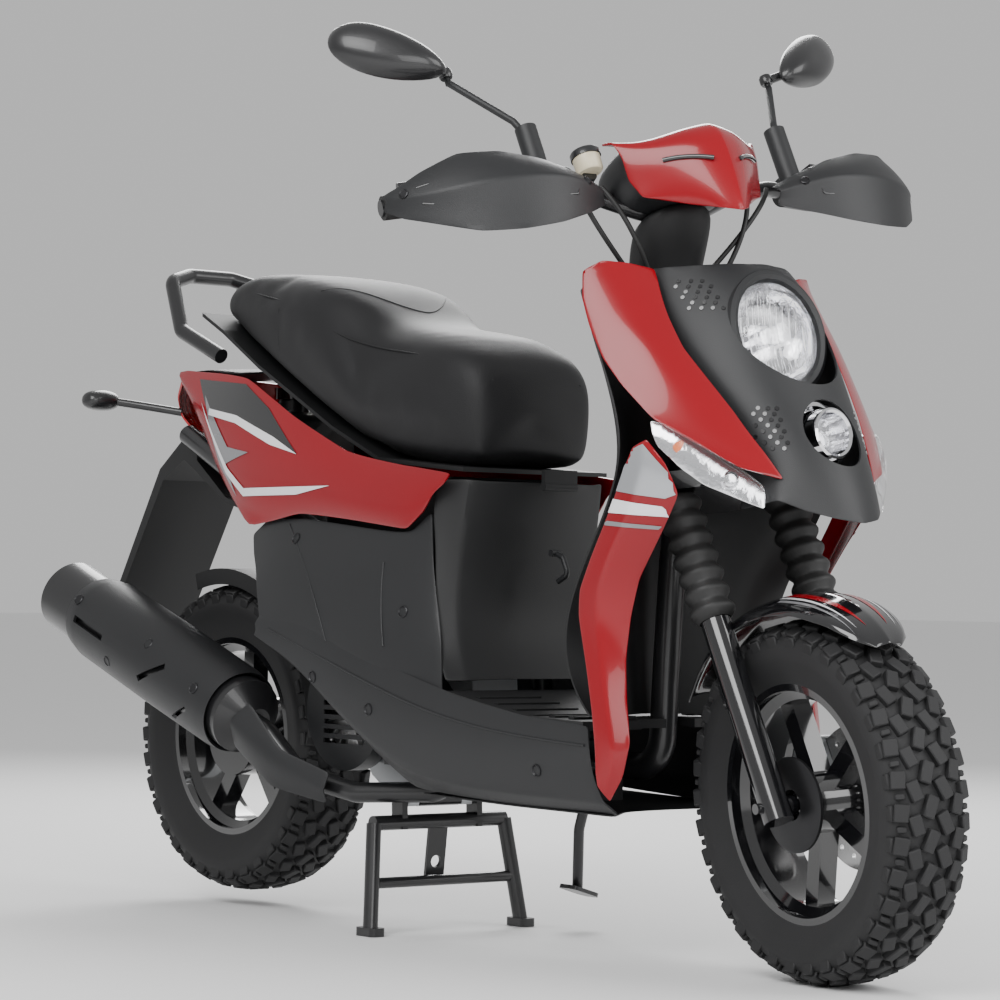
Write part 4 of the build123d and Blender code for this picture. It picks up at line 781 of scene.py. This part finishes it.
def make_bar_cover():
    """Red cover on the bars with black vents, and the instrument hood behind it."""
    rows = []
    for row in (((150, 116, 902), (176, 80, 884), (200, 40, 888), (208, 0, 892)),
                ((174, 115, 892), (206, 80, 874), (232, 40, 880), (242, 0, 884)),
                ((176, 112, 862), (216, 76, 846), (247, 38, 852), (258, 0, 856)),
                ((170, 109, 832), (208, 72, 816), (246, 36, 818), (261, 0, 818)),
                ((176, 98, 804), (206, 62, 788), (243, 30, 780), (258, 0, 774)),
                ((190, 72, 790), (214, 42, 768), (240, 20, 748), (251, 0, 738))):
        rows.append(across_middle(row))
    cover = panel("bar_cover_red", rows, "red", 3, tuple(STEER_AHEAD), fork_point, sharp_cols=(3,))
    settle(cover, "steering", ["bar_covers"])
    rings = []
    for s, f0, f1, half in ((812, 96, 176, 60), (846, 60, 190, 92), (880, 40, 188, 96), (900, 52, 176, 84),
                            (905, 70, 160, 66)):
        ring = []
        for k in range(16):
            t = 2 * math.pi * k / 16
            mid, reach = (f0 + f1) / 2, (f1 - f0) / 2
            ring.append(fork_point(mid + reach * math.copysign(abs(math.cos(t)) ** 0.6, math.cos(t)),
                                   half * math.copysign(abs(math.sin(t)) ** 0.6, math.sin(t)), s))
        rings.append(ring)
    hood = loft("instrument_hood", rings, "plastic", 2)
    settle(hood, "steering")
    dial = turned("instrument_dial", fork_point(100, 0, 905), STEER_UP,
                  [(-2, 38), (3, 38), (4, 35), (1, 33), (1, 0)],
                  "gloss_black", 48)
    settle(dial, "steering")
    vents = []
    for hand in (-1, 1):
        vents.append(tube("vent", [fork_point(214, hand * 74, 838), fork_point(236, hand * 50, 834),
                                   fork_point(254, hand * 22, 818)], 3.4, "gloss_black"))
    settle(join("bar_cover_vents", vents), "steering")


def make_guards_and_mirrors():
    """Hand guards with their inset ridge, and the two mirror heads."""
    sections = ((141, (150, 835), (162, 820), (152, 806)), (180, (166, 850), (186, 824), (170, 784)),
                (230, (172, 868), (198, 828), (180, 764)), (290, (166, 884), (194, 828), (176, 756)),
                (345, (150, 890), (174, 828), (156, 764)), (390, (118, 878), (138, 834), (122, 796)),
                (415, (92, 868), (104, 846), (94, 820)), (427, (72, 866), (78, 856), (72, 844)))
    rows = [[(top[0], -y, top[1]), ((top[0] + mid[0]) / 2 + 4, -y, (top[1] + mid[1]) / 2),
             (mid[0], -y, mid[1]), ((mid[0] + low[0]) / 2 - 2, -y, (mid[1] + low[1]) / 2),
             (low[0], -y, low[1])]
            for y, top, mid, low in sections]
    guards = panel("hand_guard_shells", rows, "plastic", 3.2, tuple(STEER_AHEAD), fork_point, pair=True,
                   sharp_cols=(2,))
    settle(guards, "steering", ["handguards"])
    tree = surface_tree(guards)
    ridges = []
    for hand in (-1, 1):
        for line in (((196, 852), (250, 850), (310, 852), (360, 850), (400, 852)),
                     ((200, 806), (250, 800), (310, 796), (360, 806), (398, 828)),
                     ((196, 852), (188, 830), (200, 806))):
            route = []
            for y, s_high in line:
                hit = tree.ray_cast(fork_point(300, hand * y, s_high), -STEER_AHEAD)[0]
                if hit is not None:
                    route.append(hit)
            if len(route) > 1:
                ridges.append(tube("guard_ridge", route, 1.6, "gloss_black"))
        for y, s_high in ((176, 828), (412, 852)):
            hit, normal, _, _ = tree.ray_cast(fork_point(300, hand * y, s_high), -STEER_AHEAD)
            if hit is not None:
                ridges.append(turned("guard_screw", hit, normal,
                                     [(-2, 7), (1.5, 7), (2.2, 5.6), (1, 4.6), (1, 0)],
                                     "bolt", 24))
    settle(join("hand_guard_trim", ridges), "steering")
    outline = [(-88, -2), (-62, 20), (-20, 33), (34, 38), (74, 30), (92, 4), (84, -22), (50, -37), (0, -38),
               (-52, -24)]
    for hand, name in ((-1, "mirror_head_right"), (1, "mirror_head_left")):
        centre = fork_point(62, hand * 341, 1094)
        long = (fork_point(-50, hand * 140, 86) - STEER_FOOT).normalized()
        forward = (STEER_AHEAD * 0.9 + STEER_LEFT * hand * 0.44)
        forward = (forward - long * forward.dot(long)).normalized()
        rise = forward.cross(long) * hand
        rings = []
        for depth, size in ((-2, 0.9), (-2, 0.97), (2, 1.0), (13, 0.94), (22, 0.78), (29, 0.5), (31, 0.2)):
            rings.append([centre + forward * depth / 1000 + (long * u + rise * v) * size / 1000
                          for u, v in outline])
        head = loft(name + "_shell", rings, "satin_black", 2, sharp=(1, 2))
        ball = turned(name + "_ball", fork_point(64, hand * 266, 1058), STEER_UP,
                      [(0, 4.4), (0, 8), (3, 9.5), (11, 9.5), (14, 8), (14, 4.4)], "satin_black", 32)
        neck = join(name + "_neck", [ball, tube(name + "_arm", [
            fork_point(66, hand * 273, 1066), fork_point(72, hand * 290, 1069),
            fork_point(78, hand * 308, 1074)], 6.5,
            "satin_black")])
        glass = loft(name + "_glass", [[centre - forward * depth / 1000 + (long * u + rise * v) * size / 1000
                                        for u, v in outline] for depth, size in ((2.4, 0.88), (3.2, 0.86))],
                     "mirror", 1)
        settle(join(name + "_whole", [head, neck, glass], 50), name, [name])


def make_middle_bodywork():
    """Side covers, floor skirt and the cover under the seat's nose."""
    cover = [[(186, -140, 582), (238, -146, 607), (332, -152, 608), (480, -158, 594), (600, -158, 582),
              (640, -150, 612)],
             [(214, -158, 545), (262, -165, 560), (340, -171, 560), (480, -175, 545), (600, -173, 530),
              (652, -156, 540)],
             [(240, -172, 510), (290, -179, 515), (350, -183, 510), (480, -185, 490), (600, -182, 465),
              (676, -160, 455)],
             [(268, -184, 452), (310, -188, 450), (385, -191, 440), (480, -193, 410), (600, -194, 374),
              (720, -190, 346)]]
    sides = panel("side_cover_shells", cover, "plastic", 3, (0, -1, 0.1), pair=True)
    settle(sides, "chassis", ["side_covers"])
    skirt = [[(270, -180, 466), (378, -185, 466), (456, -188, 438), (536, -190, 410), (722, -192, 366),
              (897, -193, 335), (1034, -193, 326)],
             [(262, -190, 446), (372, -196, 430), (452, -199, 396), (532, -200, 362), (690, -201, 306),
              (880, -200, 284), (1040, -195, 290)],
             [(260, -189, 430), (368, -193, 392), (444, -195, 346), (520, -195, 300), (640, -193, 240),
              (850, -188, 228), (1054, -182, 226)],
             [(262, -172, 423), (368, -172, 374), (442, -172, 328), (516, -170, 282), (628, -166, 217),
              (846, -162, 209), (1060, -158, 207)]]
    skirts = panel("floor_skirt_shells", skirt, "plastic", 3, (0, -1, 0), pair=True, sharp_rows=(2,))
    tray_rows = []
    for x_back, x_mid, x_front, y in ((640, 850, 1058, -164), (640, 850, 1000, -96), (640, 850, 996, 0),
                                      (640, 850, 1000, 96), (640, 850, 1058, 164)):
        tray_rows.append([(x_back, y, 213), (x_mid, y, 208), (x_front, y, 206)])
    tray = panel("floor_tray", tray_rows, "plastic_dark", 2.5, (0, 0, -1), sharp_rows=(1, 3))
    settle(join("floor_skirt_whole", [skirts, tray]), "chassis", ["belly_skirt"])
    rows = []
    for z, line in ((658, ((640, 146), (692, 124), (716, 68), (722, 0))),
                    (600, ((644, 150), (682, 126), (702, 68), (708, 0))),
                    (540, ((650, 152), (672, 126), (690, 68), (696, 0))),
                    (480, ((658, 156), (674, 130), (688, 68), (694, 0))),
                    (425, ((672, 164), (692, 138), (704, 70), (708, 0))),
                    (376, ((712, 178), (726, 148), (736, 72), (740, 0)))):
        rows.append(across_middle([(x, y, z) for x, y in line]))
    tree = surface_tree(sides)
    lower = surface_tree(bpy.data.objects["floor_skirt_whole"])
    marks = []
    for hand in (-1, 1):
        for x, z, where in ((330, 575, tree), (610, 470, tree), (420, 372, lower), (930, 262, lower),
                            (560, 330, lower)):
            hit, normal = met_from_side(where, x, z, hand)
            if hit is not None:
                marks.append(turned("cover_screw", hit, normal,
                                    [(-3, 9), (1, 9), (1.8, 7.5), (-0.4, 6), (-0.4, 0)],
                                    "bolt", 24))
        for where, line in ((tree, ((300, 596), (352, 556), (392, 508), (424, 462), (446, 424))),
                            (tree, ((560, 590), (556, 540), (560, 480), (580, 420))),
                            (lower,
                             ((300, 440), (420, 408), (540, 372), (700, 330), (880, 306), (1030, 300)))):
            route = []
            for x, z in line:
                hit, _ = met_from_side(where, x, z, hand)
                if hit is not None:
                    route.append(hit)
            if len(route) > 1:
                marks.append(tube("cover_crease", route, 1.8, "plastic"))
    settle(join("cover_trim", marks), "chassis")
    front = panel("seat_front_shell", rows, "plastic_dark", 3, (1, 0, 0), sharp_cols=(1, 5))
    settle(front, "chassis", ["seat_front_cover"])


def make_tail():
    """Red tail panels and their film stripes."""
    rows = [[(-72, -106, 842), (-38, -112, 843), (66, -126, 836), (159, -137, 827), (300, -150, 760),
             (445, -155, 702), (578, -157, 680), (690, -158, 666)],
            [(-70, -110, 835), (-26, -122, 815), (66, -142, 778), (172, -158, 745), (310, -165, 712),
             (450, -168, 668), (586, -167, 648), (676, -160, 650)],
            [(-66, -110, 828), (-10, -122, 790), (66, -143, 725), (180, -160, 655), (322, -167, 655),
             (468, -170, 630), (600, -169, 615), (656, -163, 636)],
            [(-62, -106, 822), (4, -114, 752), (66, -128, 684), (184, -150, 586), (332, -160, 612),
             (480, -165, 599), (598, -165, 586), (636, -163, 612)]]
    tail = panel("tail_panel_shells", rows, "red", 3, (0, -1, 0), pair=True)
    settle(tail, "chassis", ["tail_panels"])
    lid = panel("tail_lid", [[(-112, -60, 838), (-122, 0, 842), (-112, 60, 838)],
                             [(-70, -104, 842), (-70, 0, 850), (-70, 104, 842)],
                             [(20, -116, 842), (20, 0, 852), (20, 116, 842)],
                             [(120, -126, 832), (120, 0, 842), (120, 126, 832)]], "plastic", 3, (0, 0, 1))
    settle(lid, "chassis")
    films = []
    for hand in (-1, 1):
        films.append(decal("tail_band", tail,
                           [(10, 826), (160, 812), (236, 772), (330, 700), (256, 716), (150, 752),
                            (60, 768)], hand, "decal_black"))
        films.append(decal("tail_band_line", tail,
                           [(150, 752), (256, 716), (330, 700), (262, 728), (150, 764),
                            (60, 778), (60, 768)], hand, "white", 1.3))
        films.append(decal("tail_arrow", tail,
                           [(40, 800), (130, 716), (196, 706), (120, 690), (150, 640), (96, 690)],
                           hand, "grey", 1.2))
        films.append(decal("tail_line", tail,
                           [(30, 790), (120, 676), (176, 640), (330, 640), (420, 652), (320, 652),
                            (180, 652), (128, 684)], hand, "white", 1.4))
    settle(join("tail_stripes", films), "chassis")


def paint_frame_parts():
    """Gives every carried-over part its own finish."""
    finishes = {"frame_tubes": "satin_black", "inner_shield": "plastic_dark", "footboard": "plastic_dark",
                "grab_rail": "satin_black", "rear_fender": "plastic_dark",
                "storage_box": "plastic_dark", "fuel_tank": "satin_black", "battery": "plastic_dark",
                "seat_pan": "plastic_dark", "fuel_cap": "gloss_black", "bag_hook": "plastic",
                "ignition_lock": "steel", "side_stand": "satin_black", "fork_yoke": "gloss_black",
                "handlebar": "satin_black", "bar_controls": "plastic",
                "throttle_grip": "soft_rubber", "brake_lever_right": "satin_black",
                "brake_lever_left": "satin_black",
                "start_button": "red_lens", "fork_legs": "gloss_black", 
                "brake_caliper": "alloy", "front_rim": "gloss_black", "brake_disc": "steel",
                "engine_case": "alloy",
                "engine_covers": "plastic", "cylinder": "alloy", "muffler": "satin_black",
                "intake": "plastic_dark", "rear_hugger": "plastic_dark", "drive_belt": "soft_rubber",
                "crankshaft": "steel", "clutch_pulley": "steel", "centre_stand": "satin_black",
                "rear_rim": "gloss_black", "shock_body": "gloss_black", "shock_rod": "steel"}
    for node, finish in finishes.items():
        obj = frame["nodes"][node]
        obj.data.materials.clear()
        obj.data.materials.append(MADE["materials"][finish])


def make_stage():
    """Pale floor, soft lights and the camera."""
    bm = bmesh.new()
    bmesh.ops.create_grid(bm, x_segments=1, y_segments=1, size=40)
    for vert in bm.verts:
        vert.co.z = -0.0006
    material, _, _, shader = new_material("pale_floor")
    shader.inputs["Base Color"].default_value = (0.86, 0.86, 0.86, 1)
    shader.inputs["Roughness"].default_value = 0.85
    mesh = bpy.data.meshes.new("floor")
    bm.to_mesh(mesh)
    bm.free()
    floor = bpy.data.objects.new("floor", mesh)
    floor.data.materials.append(material)
    bpy.context.scene.collection.objects.link(floor)
    world = bpy.data.worlds.new("studio")
    world.use_nodes = True
    world.node_tree.nodes["Background"].inputs["Color"].default_value = (1, 1, 1, 1)
    world.node_tree.nodes["Background"].inputs["Strength"].default_value = 0.6
    bpy.context.scene.world = world
    for name, place, power, size in (("key", (1.6, -3.2, 3.2), 150, 2.6), ("fill", (3.4, 1.6, 2.4), 80, 2.4),
                                     ("rim", (-2.6, 2.2, 2.8), 120, 2.0),
                                     ("front", (3.6, -1.2, 1.4), 40, 1.8)):
        light = bpy.data.lights.new(name, "AREA")
        light.energy = power
        light.size = size
        lamp = bpy.data.objects.new(name, light)
        lamp.location = place
        aim = Vector((0, 0, 0.6)) - lamp.location
        lamp.rotation_euler = aim.to_track_quat("-Z", "Y").to_euler()
        bpy.context.scene.collection.objects.link(lamp)
    azimuth, elevation, roll = math.radians(50.85), math.radians(-1.46), math.radians(0.79)
    back = Vector((math.sin(azimuth) * math.cos(elevation), -math.cos(azimuth) * math.cos(elevation),
                   math.sin(elevation)))
    right = Vector((math.cos(azimuth), math.sin(azimuth), 0))
    up = back.cross(right)
    side = right * math.cos(roll) + up * math.sin(roll)
    rise = up * math.cos(roll) - right * math.sin(roll)
    camera_data = bpy.data.cameras.new("camera")
    camera_data.lens = 120.94
    camera_data.sensor_width = 36
    camera = bpy.data.objects.new("camera", camera_data)
    turn = Matrix((side, rise, back)).transposed().to_4x4()
    camera.matrix_world = Matrix.Translation(Vector((3.7966, -3.0807, 0.5089))) @ turn
    bpy.context.scene.collection.objects.link(camera)
    bpy.context.scene.camera = camera


def make_muffler_shield():
    """Slotted heat shield with its screws, wrapped round the silencer."""
    front, back = body_point(*SILENCER_FRONT), body_point(*SILENCER_BACK)
    run = (back - front).normalized()
    shell = turned("shield_shell", front, run,
                   [(52, 60), (48, 64), (70, 67.5), (250, 69), (440, 68), (468, 63),
                    (484, 52), (480, 50), (462, 59.5), (430, 64), (250, 65),
                    (70, 64), (52, 60)], "plastic", 96, 35)
    out = Vector((0, -1, 0))
    rise = run.cross(out).normalized()
    if rise.z < 0:
        rise = -rise
    for along, high, length, width, lean in ((395, 6, 88, 11, 0.0), (205, 4, 74, 9, -0.62),
                                             (120, -30, 60, 7, -0.62)):
        bm = bmesh.new()
        bmesh.ops.create_cube(bm, size=1)
        ahead = (run * math.cos(lean) + rise * math.sin(lean)).normalized()
        turn = Matrix((ahead, out.cross(ahead), out)).transposed().to_4x4()
        place = front + run * along / 1000 + rise * high / 1000 + out * 0.066
        bmesh.ops.transform(bm, matrix=Matrix.Translation(place) @ turn @ Matrix.Diagonal(
            (length / 1000, width / 1000, 0.03, 1)), verts=bm.verts)
        tool = object_from("slot_tool", bm, "plastic", 30)
        take_away(shell, tool)
    smooth(shell, 35)
    screws = []
    for along, degrees in ((450, 30), (330, -22), (240, 34), (90, 20)):
        away = out * math.cos(math.radians(degrees)) + rise * math.sin(math.radians(degrees))
        screws.append(turned("shield_screw", front + run * along / 1000 + away * 0.067, away,
                             [(-2, 9), (1.5, 9), (2.4, 7.6), (1.2, 6.4), (1.2, 0)], "bolt", 24))
    guard = panel("pipe_guard", [[(262, -196, 330), (330, -186, 262), (420, -162, 232)],
                                 [(236, -214, 300), (318, -200, 236), (416, -170, 206)],
                                 [(226, -196, 262), (308, -186, 206), (408, -158, 186)]], "plastic", 2.5,
                  (0, -1, 0))
    settle(join("muffler_shield_whole", [shell, guard] + screws), "engine", ["muffler_shield"])


def make_fender():
    """Crowned front fender with its pointed lip and film stripes."""
    def arc(degrees, radius, y):
        return (24.3 + radius * math.sin(math.radians(degrees)), y,
                -11.8 + radius * math.cos(math.radians(degrees)))

    rows = []
    for degrees, radius, half, drop in ((-34, 262, 66, 16), (-18, 266, 71, 22), (0, 270, 73, 26),
                                        (18, 271, 73, 26),
                                        (34, 270, 70, 22), (48, 266, 60, 15), (57, 260, 44, 9),
                                        (62, 255, 20, 3)):
        rows.append([arc(degrees, radius - drop, -half), arc(degrees, radius - drop * 0.3, -half * 0.9),
                     arc(degrees, radius + 1, -half * 0.45), arc(degrees, radius + 4, 0),
                     arc(degrees, radius + 1, half * 0.45), arc(degrees, radius - drop * 0.3, half * 0.9),
                     arc(degrees, radius - drop, half)])
    fender = panel("front_fender_shell", rows, "gloss_black", 3, tuple(STEER_UP), fork_point, sharp_cols=(3,))
    settle(fender, "fork_lower", ["front_fender"])
    films = []
    for hand in (-1, 1):
        for name, low, high, shift in (("red", 0.3, 0.52, 0), ("white", 0.56, 0.64, 0),
                                       ("grey", 0.7, 0.78, 2)):
            bm = bmesh.new()
            steps = 12
            grid = []
            for k in range(steps + 1):
                degrees = 22 + shift + k * 2.7
                thin = 1 - (k / steps) ** 2
                line = []
                for share in (low, low + (high - low) * thin):
                    half = 73 - max(0, degrees - 30) * 0.75
                    line.append(bm.verts.new(fork_point(*arc(degrees,
                                                             271.5 + 4 * (1 - share) - share * share * 10,
                                                             hand * half * share))))
                grid.append(line)
            for a, b in zip(grid, grid[1:]):
                bm.faces.new((a[0], a[1], b[1], b[0]) if hand > 0 else (a[0], b[0], b[1], a[1]))
            tree = surface_tree(fender)
            middle = fork_point(24.3, 0, -11.8)
            for vert in bm.verts:
                aim = (vert.co - middle - STEER_LEFT * (vert.co - middle).dot(STEER_LEFT)).normalized()
                hit = tree.ray_cast(vert.co + aim * 0.08, -aim)[0]
                if hit is not None:
                    vert.co = hit + aim * 0.0006
            films.append(object_from("fender_film", bm, name, 40))
    settle(join("front_fender_stripes", films), "fork_lower")
    plate = turned("front_hub_plate", FRONT_AXLE, STEER_LEFT,
                   [(-56, 20), (-56, 58), (-54, 62), (-50, 62), (-48, 58),
                    (-48, 20), (-56, 20)], "bolt", 64)
    settle(plate, "front_wheel")


def make_gaiters_and_spring():
    """Fork gaiters and the shock's spring."""
    low, high, count, travel = GAITER_LOW, GAITER_HIGH, 7, FORK_TRAVEL
    pitch = (high - low) / count
    sides = []
    for hand in (-1, 1):
        line = [(low, 21)]
        for k in range(count):
            base = low + k * pitch
            line += [(base + pitch * 0.08, 24.5), (base + pitch * 0.36, 30), (base + pitch * 0.5, 31),
                     (base + pitch * 0.64, 30), (base + pitch * 0.92, 24.5)]
        line += [(high, 21)]
        sides.append(turned("gaiter", fork_point(30, hand * 86, 0), STEER_UP, line, "soft_rubber", 48, 60))
    gaiters = join("fork_gaiters", sides, 60)
    settle(gaiters, "steering", ["fork_boots"])
    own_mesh(gaiters)
    foot, top = body_point(-10, 98, 386), body_point(60, 98, 650)
    run = (top - foot).normalized()
    across = run.cross(Vector((0, 1, 0))).normalized()
    start, finish, turns, slide = 63, 220, 7, SHOCK_TRAVEL
    points = []
    for k in range(turns * 16 + 1):
        angle = 2 * math.pi * k / 16
        along = start + (finish - start) * k / (turns * 16)
        round_it = across * math.cos(angle) + Vector((0, 1, 0)) * math.sin(angle)
        points.append(foot + run * along / 1000 + round_it * 0.02)
    spring = tube("shock_coil", points, 4, "red")
    settle(spring, "shock_body", ["shock_spring"])
    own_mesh(spring)


def make_small_parts():
    """Tail lamp, rear signals, fluid reservoir, neck cover and hoses."""
    rows = []
    for row in (((-76, 100, 832), (-114, 62, 838), (-128, 0, 840)),
                ((-88, 102, 800), (-136, 62, 802), (-150, 0, 803)),
                ((-76, 102, 772), (-128, 62, 768), (-142, 0, 767)),
                ((-50, 98, 750), (-98, 58, 746), (-112, 0, 745))):
        rows.append(across_middle(row))
    parts = [panel("tail_lens", rows, "red_lens", 4, (-1, 0, 0))]
    for hand in (-1, 1):
        parts.append(tube("signal_stalk", [body_point(-80, hand * 96, 778), body_point(-116, hand * 130, 786),
                                           body_point(-150, hand * 178, 794)], 6.5, "satin_black"))
        rings = []
        for y, tall, deep in ((168, 9, 9), (176, 15, 17), (196, 18, 23), (218, 16, 21), (230, 10, 13)):
            rings.append([body_point(-158 + deep * math.cos(k * math.pi / 6), hand * y,
                                     795 + tall * math.sin(k * math.pi / 6)) for k in range(12)])
        parts.append(loft("signal_pod", rings, "satin_black", 2))
        parts.append(turned("signal_lens", body_point(-172, hand * 199, 795), Vector((-1, 0, 0)),
                            [(-6, 15), (5, 15), (9, 12), (11, 0)], "amber", 32))
    settle(join("rear_lamps_whole", parts, 40), "chassis", ["rear_lamps"])
    cup = turned("reservoir_cup", fork_point(136, -136, 866), STEER_UP,
                 [(0, 0), (0, 16), (3, 18.5), (22, 19.5), (22, 0)],
                 "tank", 40)
    cap = turned("reservoir_cap", fork_point(136, -136, 888), STEER_UP,
                 [(0, 21), (8, 21), (10, 19.5), (10, 0)],
                 "satin_black", 40)
    base = tube("reservoir_base",
                [fork_point(92, -142, 858), fork_point(116, -138, 862), fork_point(134, -136, 866)],
                11, "satin_black")
    settle(join("fluid_reservoir", [cup, cap, base], 40), "steering", ["master_cylinder"])
    rings = []
    for s_high, f0, f1, half in ((664, -26, 34, 34), (700, -30, 52, 42), (752, -20, 96, 52),
                                 (800, 20, 150, 60), (822, 60, 150, 54)):
        mid, reach = (f0 + f1) / 2, (f1 - f0) / 2
        rings.append([fork_point(mid + reach * math.cos(k * math.pi / 8), half * math.sin(k * math.pi / 8),
                                 s_high)
                      for k in range(16)])
    hoses = [loft("neck_cover", rings, "plastic_dark", 2)]
    for start, sag, end in (((128, -120, 848), (150, -96, 770), (60, -40, 706)),
                            ((118, -150, 842), (126, -150, 790), (52, -46, 716)),
                            ((120, 120, 848), (140, 96, 770), (60, 40, 706)),
                            ((126, 150, 846), (150, 120, 800), (66, 30, 730))):
        hoses.append(tube("hose", [fork_point(*start), fork_point(*sag), fork_point(*end)], 3.6,
                          "soft_rubber"))
    settle(join("neck_and_hoses", hoses, 40), "steering")


# ---- settings, operators and panel ----
class SCOOTER_PG_colours(bpy.types.PropertyGroup):
    red: bpy.props.FloatVectorProperty(name="Panel red", description="Colour of the painted panels",
                                       subtype="COLOR", size=3, default=(0.25, 0.0, 0.0055), min=0, max=1)
    plastic: bpy.props.FloatVectorProperty(name="Plastic", description="Colour of the grained plastic",
                                           subtype="COLOR", size=3, default=(0.0105, 0.011, 0.0122), min=0,
                                           max=1)
    vinyl: bpy.props.FloatVectorProperty(name="Seat vinyl", description="Colour of the seat cover",
                                         subtype="COLOR",
                                         size=3, default=(0.0085, 0.0085, 0.0095), min=0, max=1)


class SCOOTER_PG_sizes(bpy.types.PropertyGroup):
    front_radius: bpy.props.FloatProperty(name="Front tyre radius", description="Outside radius in mm",
                                          default=236.4, min=150, max=300)
    rear_radius: bpy.props.FloatProperty(name="Rear tyre radius", description="Outside radius in mm",
                                         default=243.4, min=150, max=300)


class SCOOTER_OT_finishes(bpy.types.Operator):
    """Make the finishes and give them to the frame's own parts"""
    bl_idname = "scooter.finishes"
    bl_label = "Finishes"

    def execute(self, context):
        MADE["materials"] = make_materials(context.scene.scooter_colours)
        MADE["lamp"] = body_point(1186, 0, 848)
        MADE["lamp_dir"] = Vector((0.972, 0, 0.233)).normalized()
        MADE["spot"] = body_point(1262, 0, 707)
        MADE["spot_dir"] = Vector((0.985, 0, 0.17)).normalized()
        paint_frame_parts()
        return {"FINISHED"}


class SCOOTER_OT_tyres(bpy.types.Operator):
    """Make both block-tread tyres"""
    bl_idname = "scooter.tyres"
    bl_label = "Tyres"

    def execute(self, context):
        sizes = context.scene.scooter_sizes
        make_tyre("front_tyre_tread", FRONT_AXLE, STEER_LEFT, sizes.front_radius, 120, "front_wheel",
                  "front_tyre")
        make_tyre("rear_tyre_tread", REAR_AXLE, Vector((0, 1, 0)), sizes.rear_radius, 130, "rear_wheel",
                  "rear_tyre")
        return {"FINISHED"}


class SCOOTER_OT_seat(bpy.types.Operator):
    """Make the padded seat cover with its seams"""
    bl_idname = "scooter.seat"
    bl_label = "Seat"

    def execute(self, context):
        make_cushion()
        return {"FINISHED"}


class SCOOTER_OT_front(bpy.types.Operator):
    """Make the front bodywork and the lamps"""
    bl_idname = "scooter.front"
    bl_label = "Front bodywork"

    def execute(self, context):
        make_front_bodywork()
        make_lamps()
        return {"FINISHED"}


class SCOOTER_OT_bars(bpy.types.Operator):
    """Make the bar cover, the hand guards and the mirrors"""
    bl_idname = "scooter.bars"
    bl_label = "Bars"

    def execute(self, context):
        make_bar_cover()
        make_guards_and_mirrors()
        return {"FINISHED"}


class SCOOTER_OT_body(bpy.types.Operator):
    """Make the middle bodywork and the tail"""
    bl_idname = "scooter.body"
    bl_label = "Body and tail"

    def execute(self, context):
        make_middle_bodywork()
        make_tail()
        return {"FINISHED"}


class SCOOTER_OT_details(bpy.types.Operator):
    """Make the muffler shield, the fender, the rear lamps and the small parts"""
    bl_idname = "scooter.details"
    bl_label = "Details"

    def execute(self, context):
        make_muffler_shield()
        make_fender()
        make_gaiters_and_spring()
        make_small_parts()
        return {"FINISHED"}


class SCOOTER_OT_stage(bpy.types.Operator):
    """Set the floor, the lights and the camera"""
    bl_idname = "scooter.stage"
    bl_label = "Stage"

    def execute(self, context):
        make_stage()
        return {"FINISHED"}


STEPS = (SCOOTER_OT_finishes, SCOOTER_OT_tyres, SCOOTER_OT_seat, SCOOTER_OT_front, SCOOTER_OT_bars,
         SCOOTER_OT_body, SCOOTER_OT_details, SCOOTER_OT_stage)


class SCOOTER_PT_sidebar(bpy.types.Panel):
    bl_idname = "SCOOTER_PT_sidebar"
    bl_label = "Scooter"
    bl_space_type = "VIEW_3D"
    bl_region_type = "UI"
    bl_category = "Scooter"

    def draw(self, context):
        for name in ("red", "plastic", "vinyl"):
            self.layout.prop(context.scene.scooter_colours, name)
        for name in ("front_radius", "rear_radius"):
            self.layout.prop(context.scene.scooter_sizes, name)
        for step in STEPS:
            self.layout.operator(step.bl_idname)


CLASSES = (SCOOTER_PG_colours, SCOOTER_PG_sizes) + STEPS + (SCOOTER_PT_sidebar,)


def register():
    for cls in CLASSES:
        bpy.utils.register_class(cls)
    bpy.types.Scene.scooter_colours = bpy.props.PointerProperty(type=SCOOTER_PG_colours)
    bpy.types.Scene.scooter_sizes = bpy.props.PointerProperty(type=SCOOTER_PG_sizes)


def unregister():
    del bpy.types.Scene.scooter_sizes
    del bpy.types.Scene.scooter_colours
    for cls in reversed(CLASSES):
        bpy.utils.unregister_class(cls)


def main():
    register()
    bpy.ops.scooter.finishes()
    bpy.ops.scooter.tyres()
    bpy.ops.scooter.seat()
    bpy.ops.scooter.front()
    bpy.ops.scooter.bars()
    bpy.ops.scooter.body()
    bpy.ops.scooter.details()
    bpy.ops.scooter.stage()


if __name__ == "__main__":
    main()
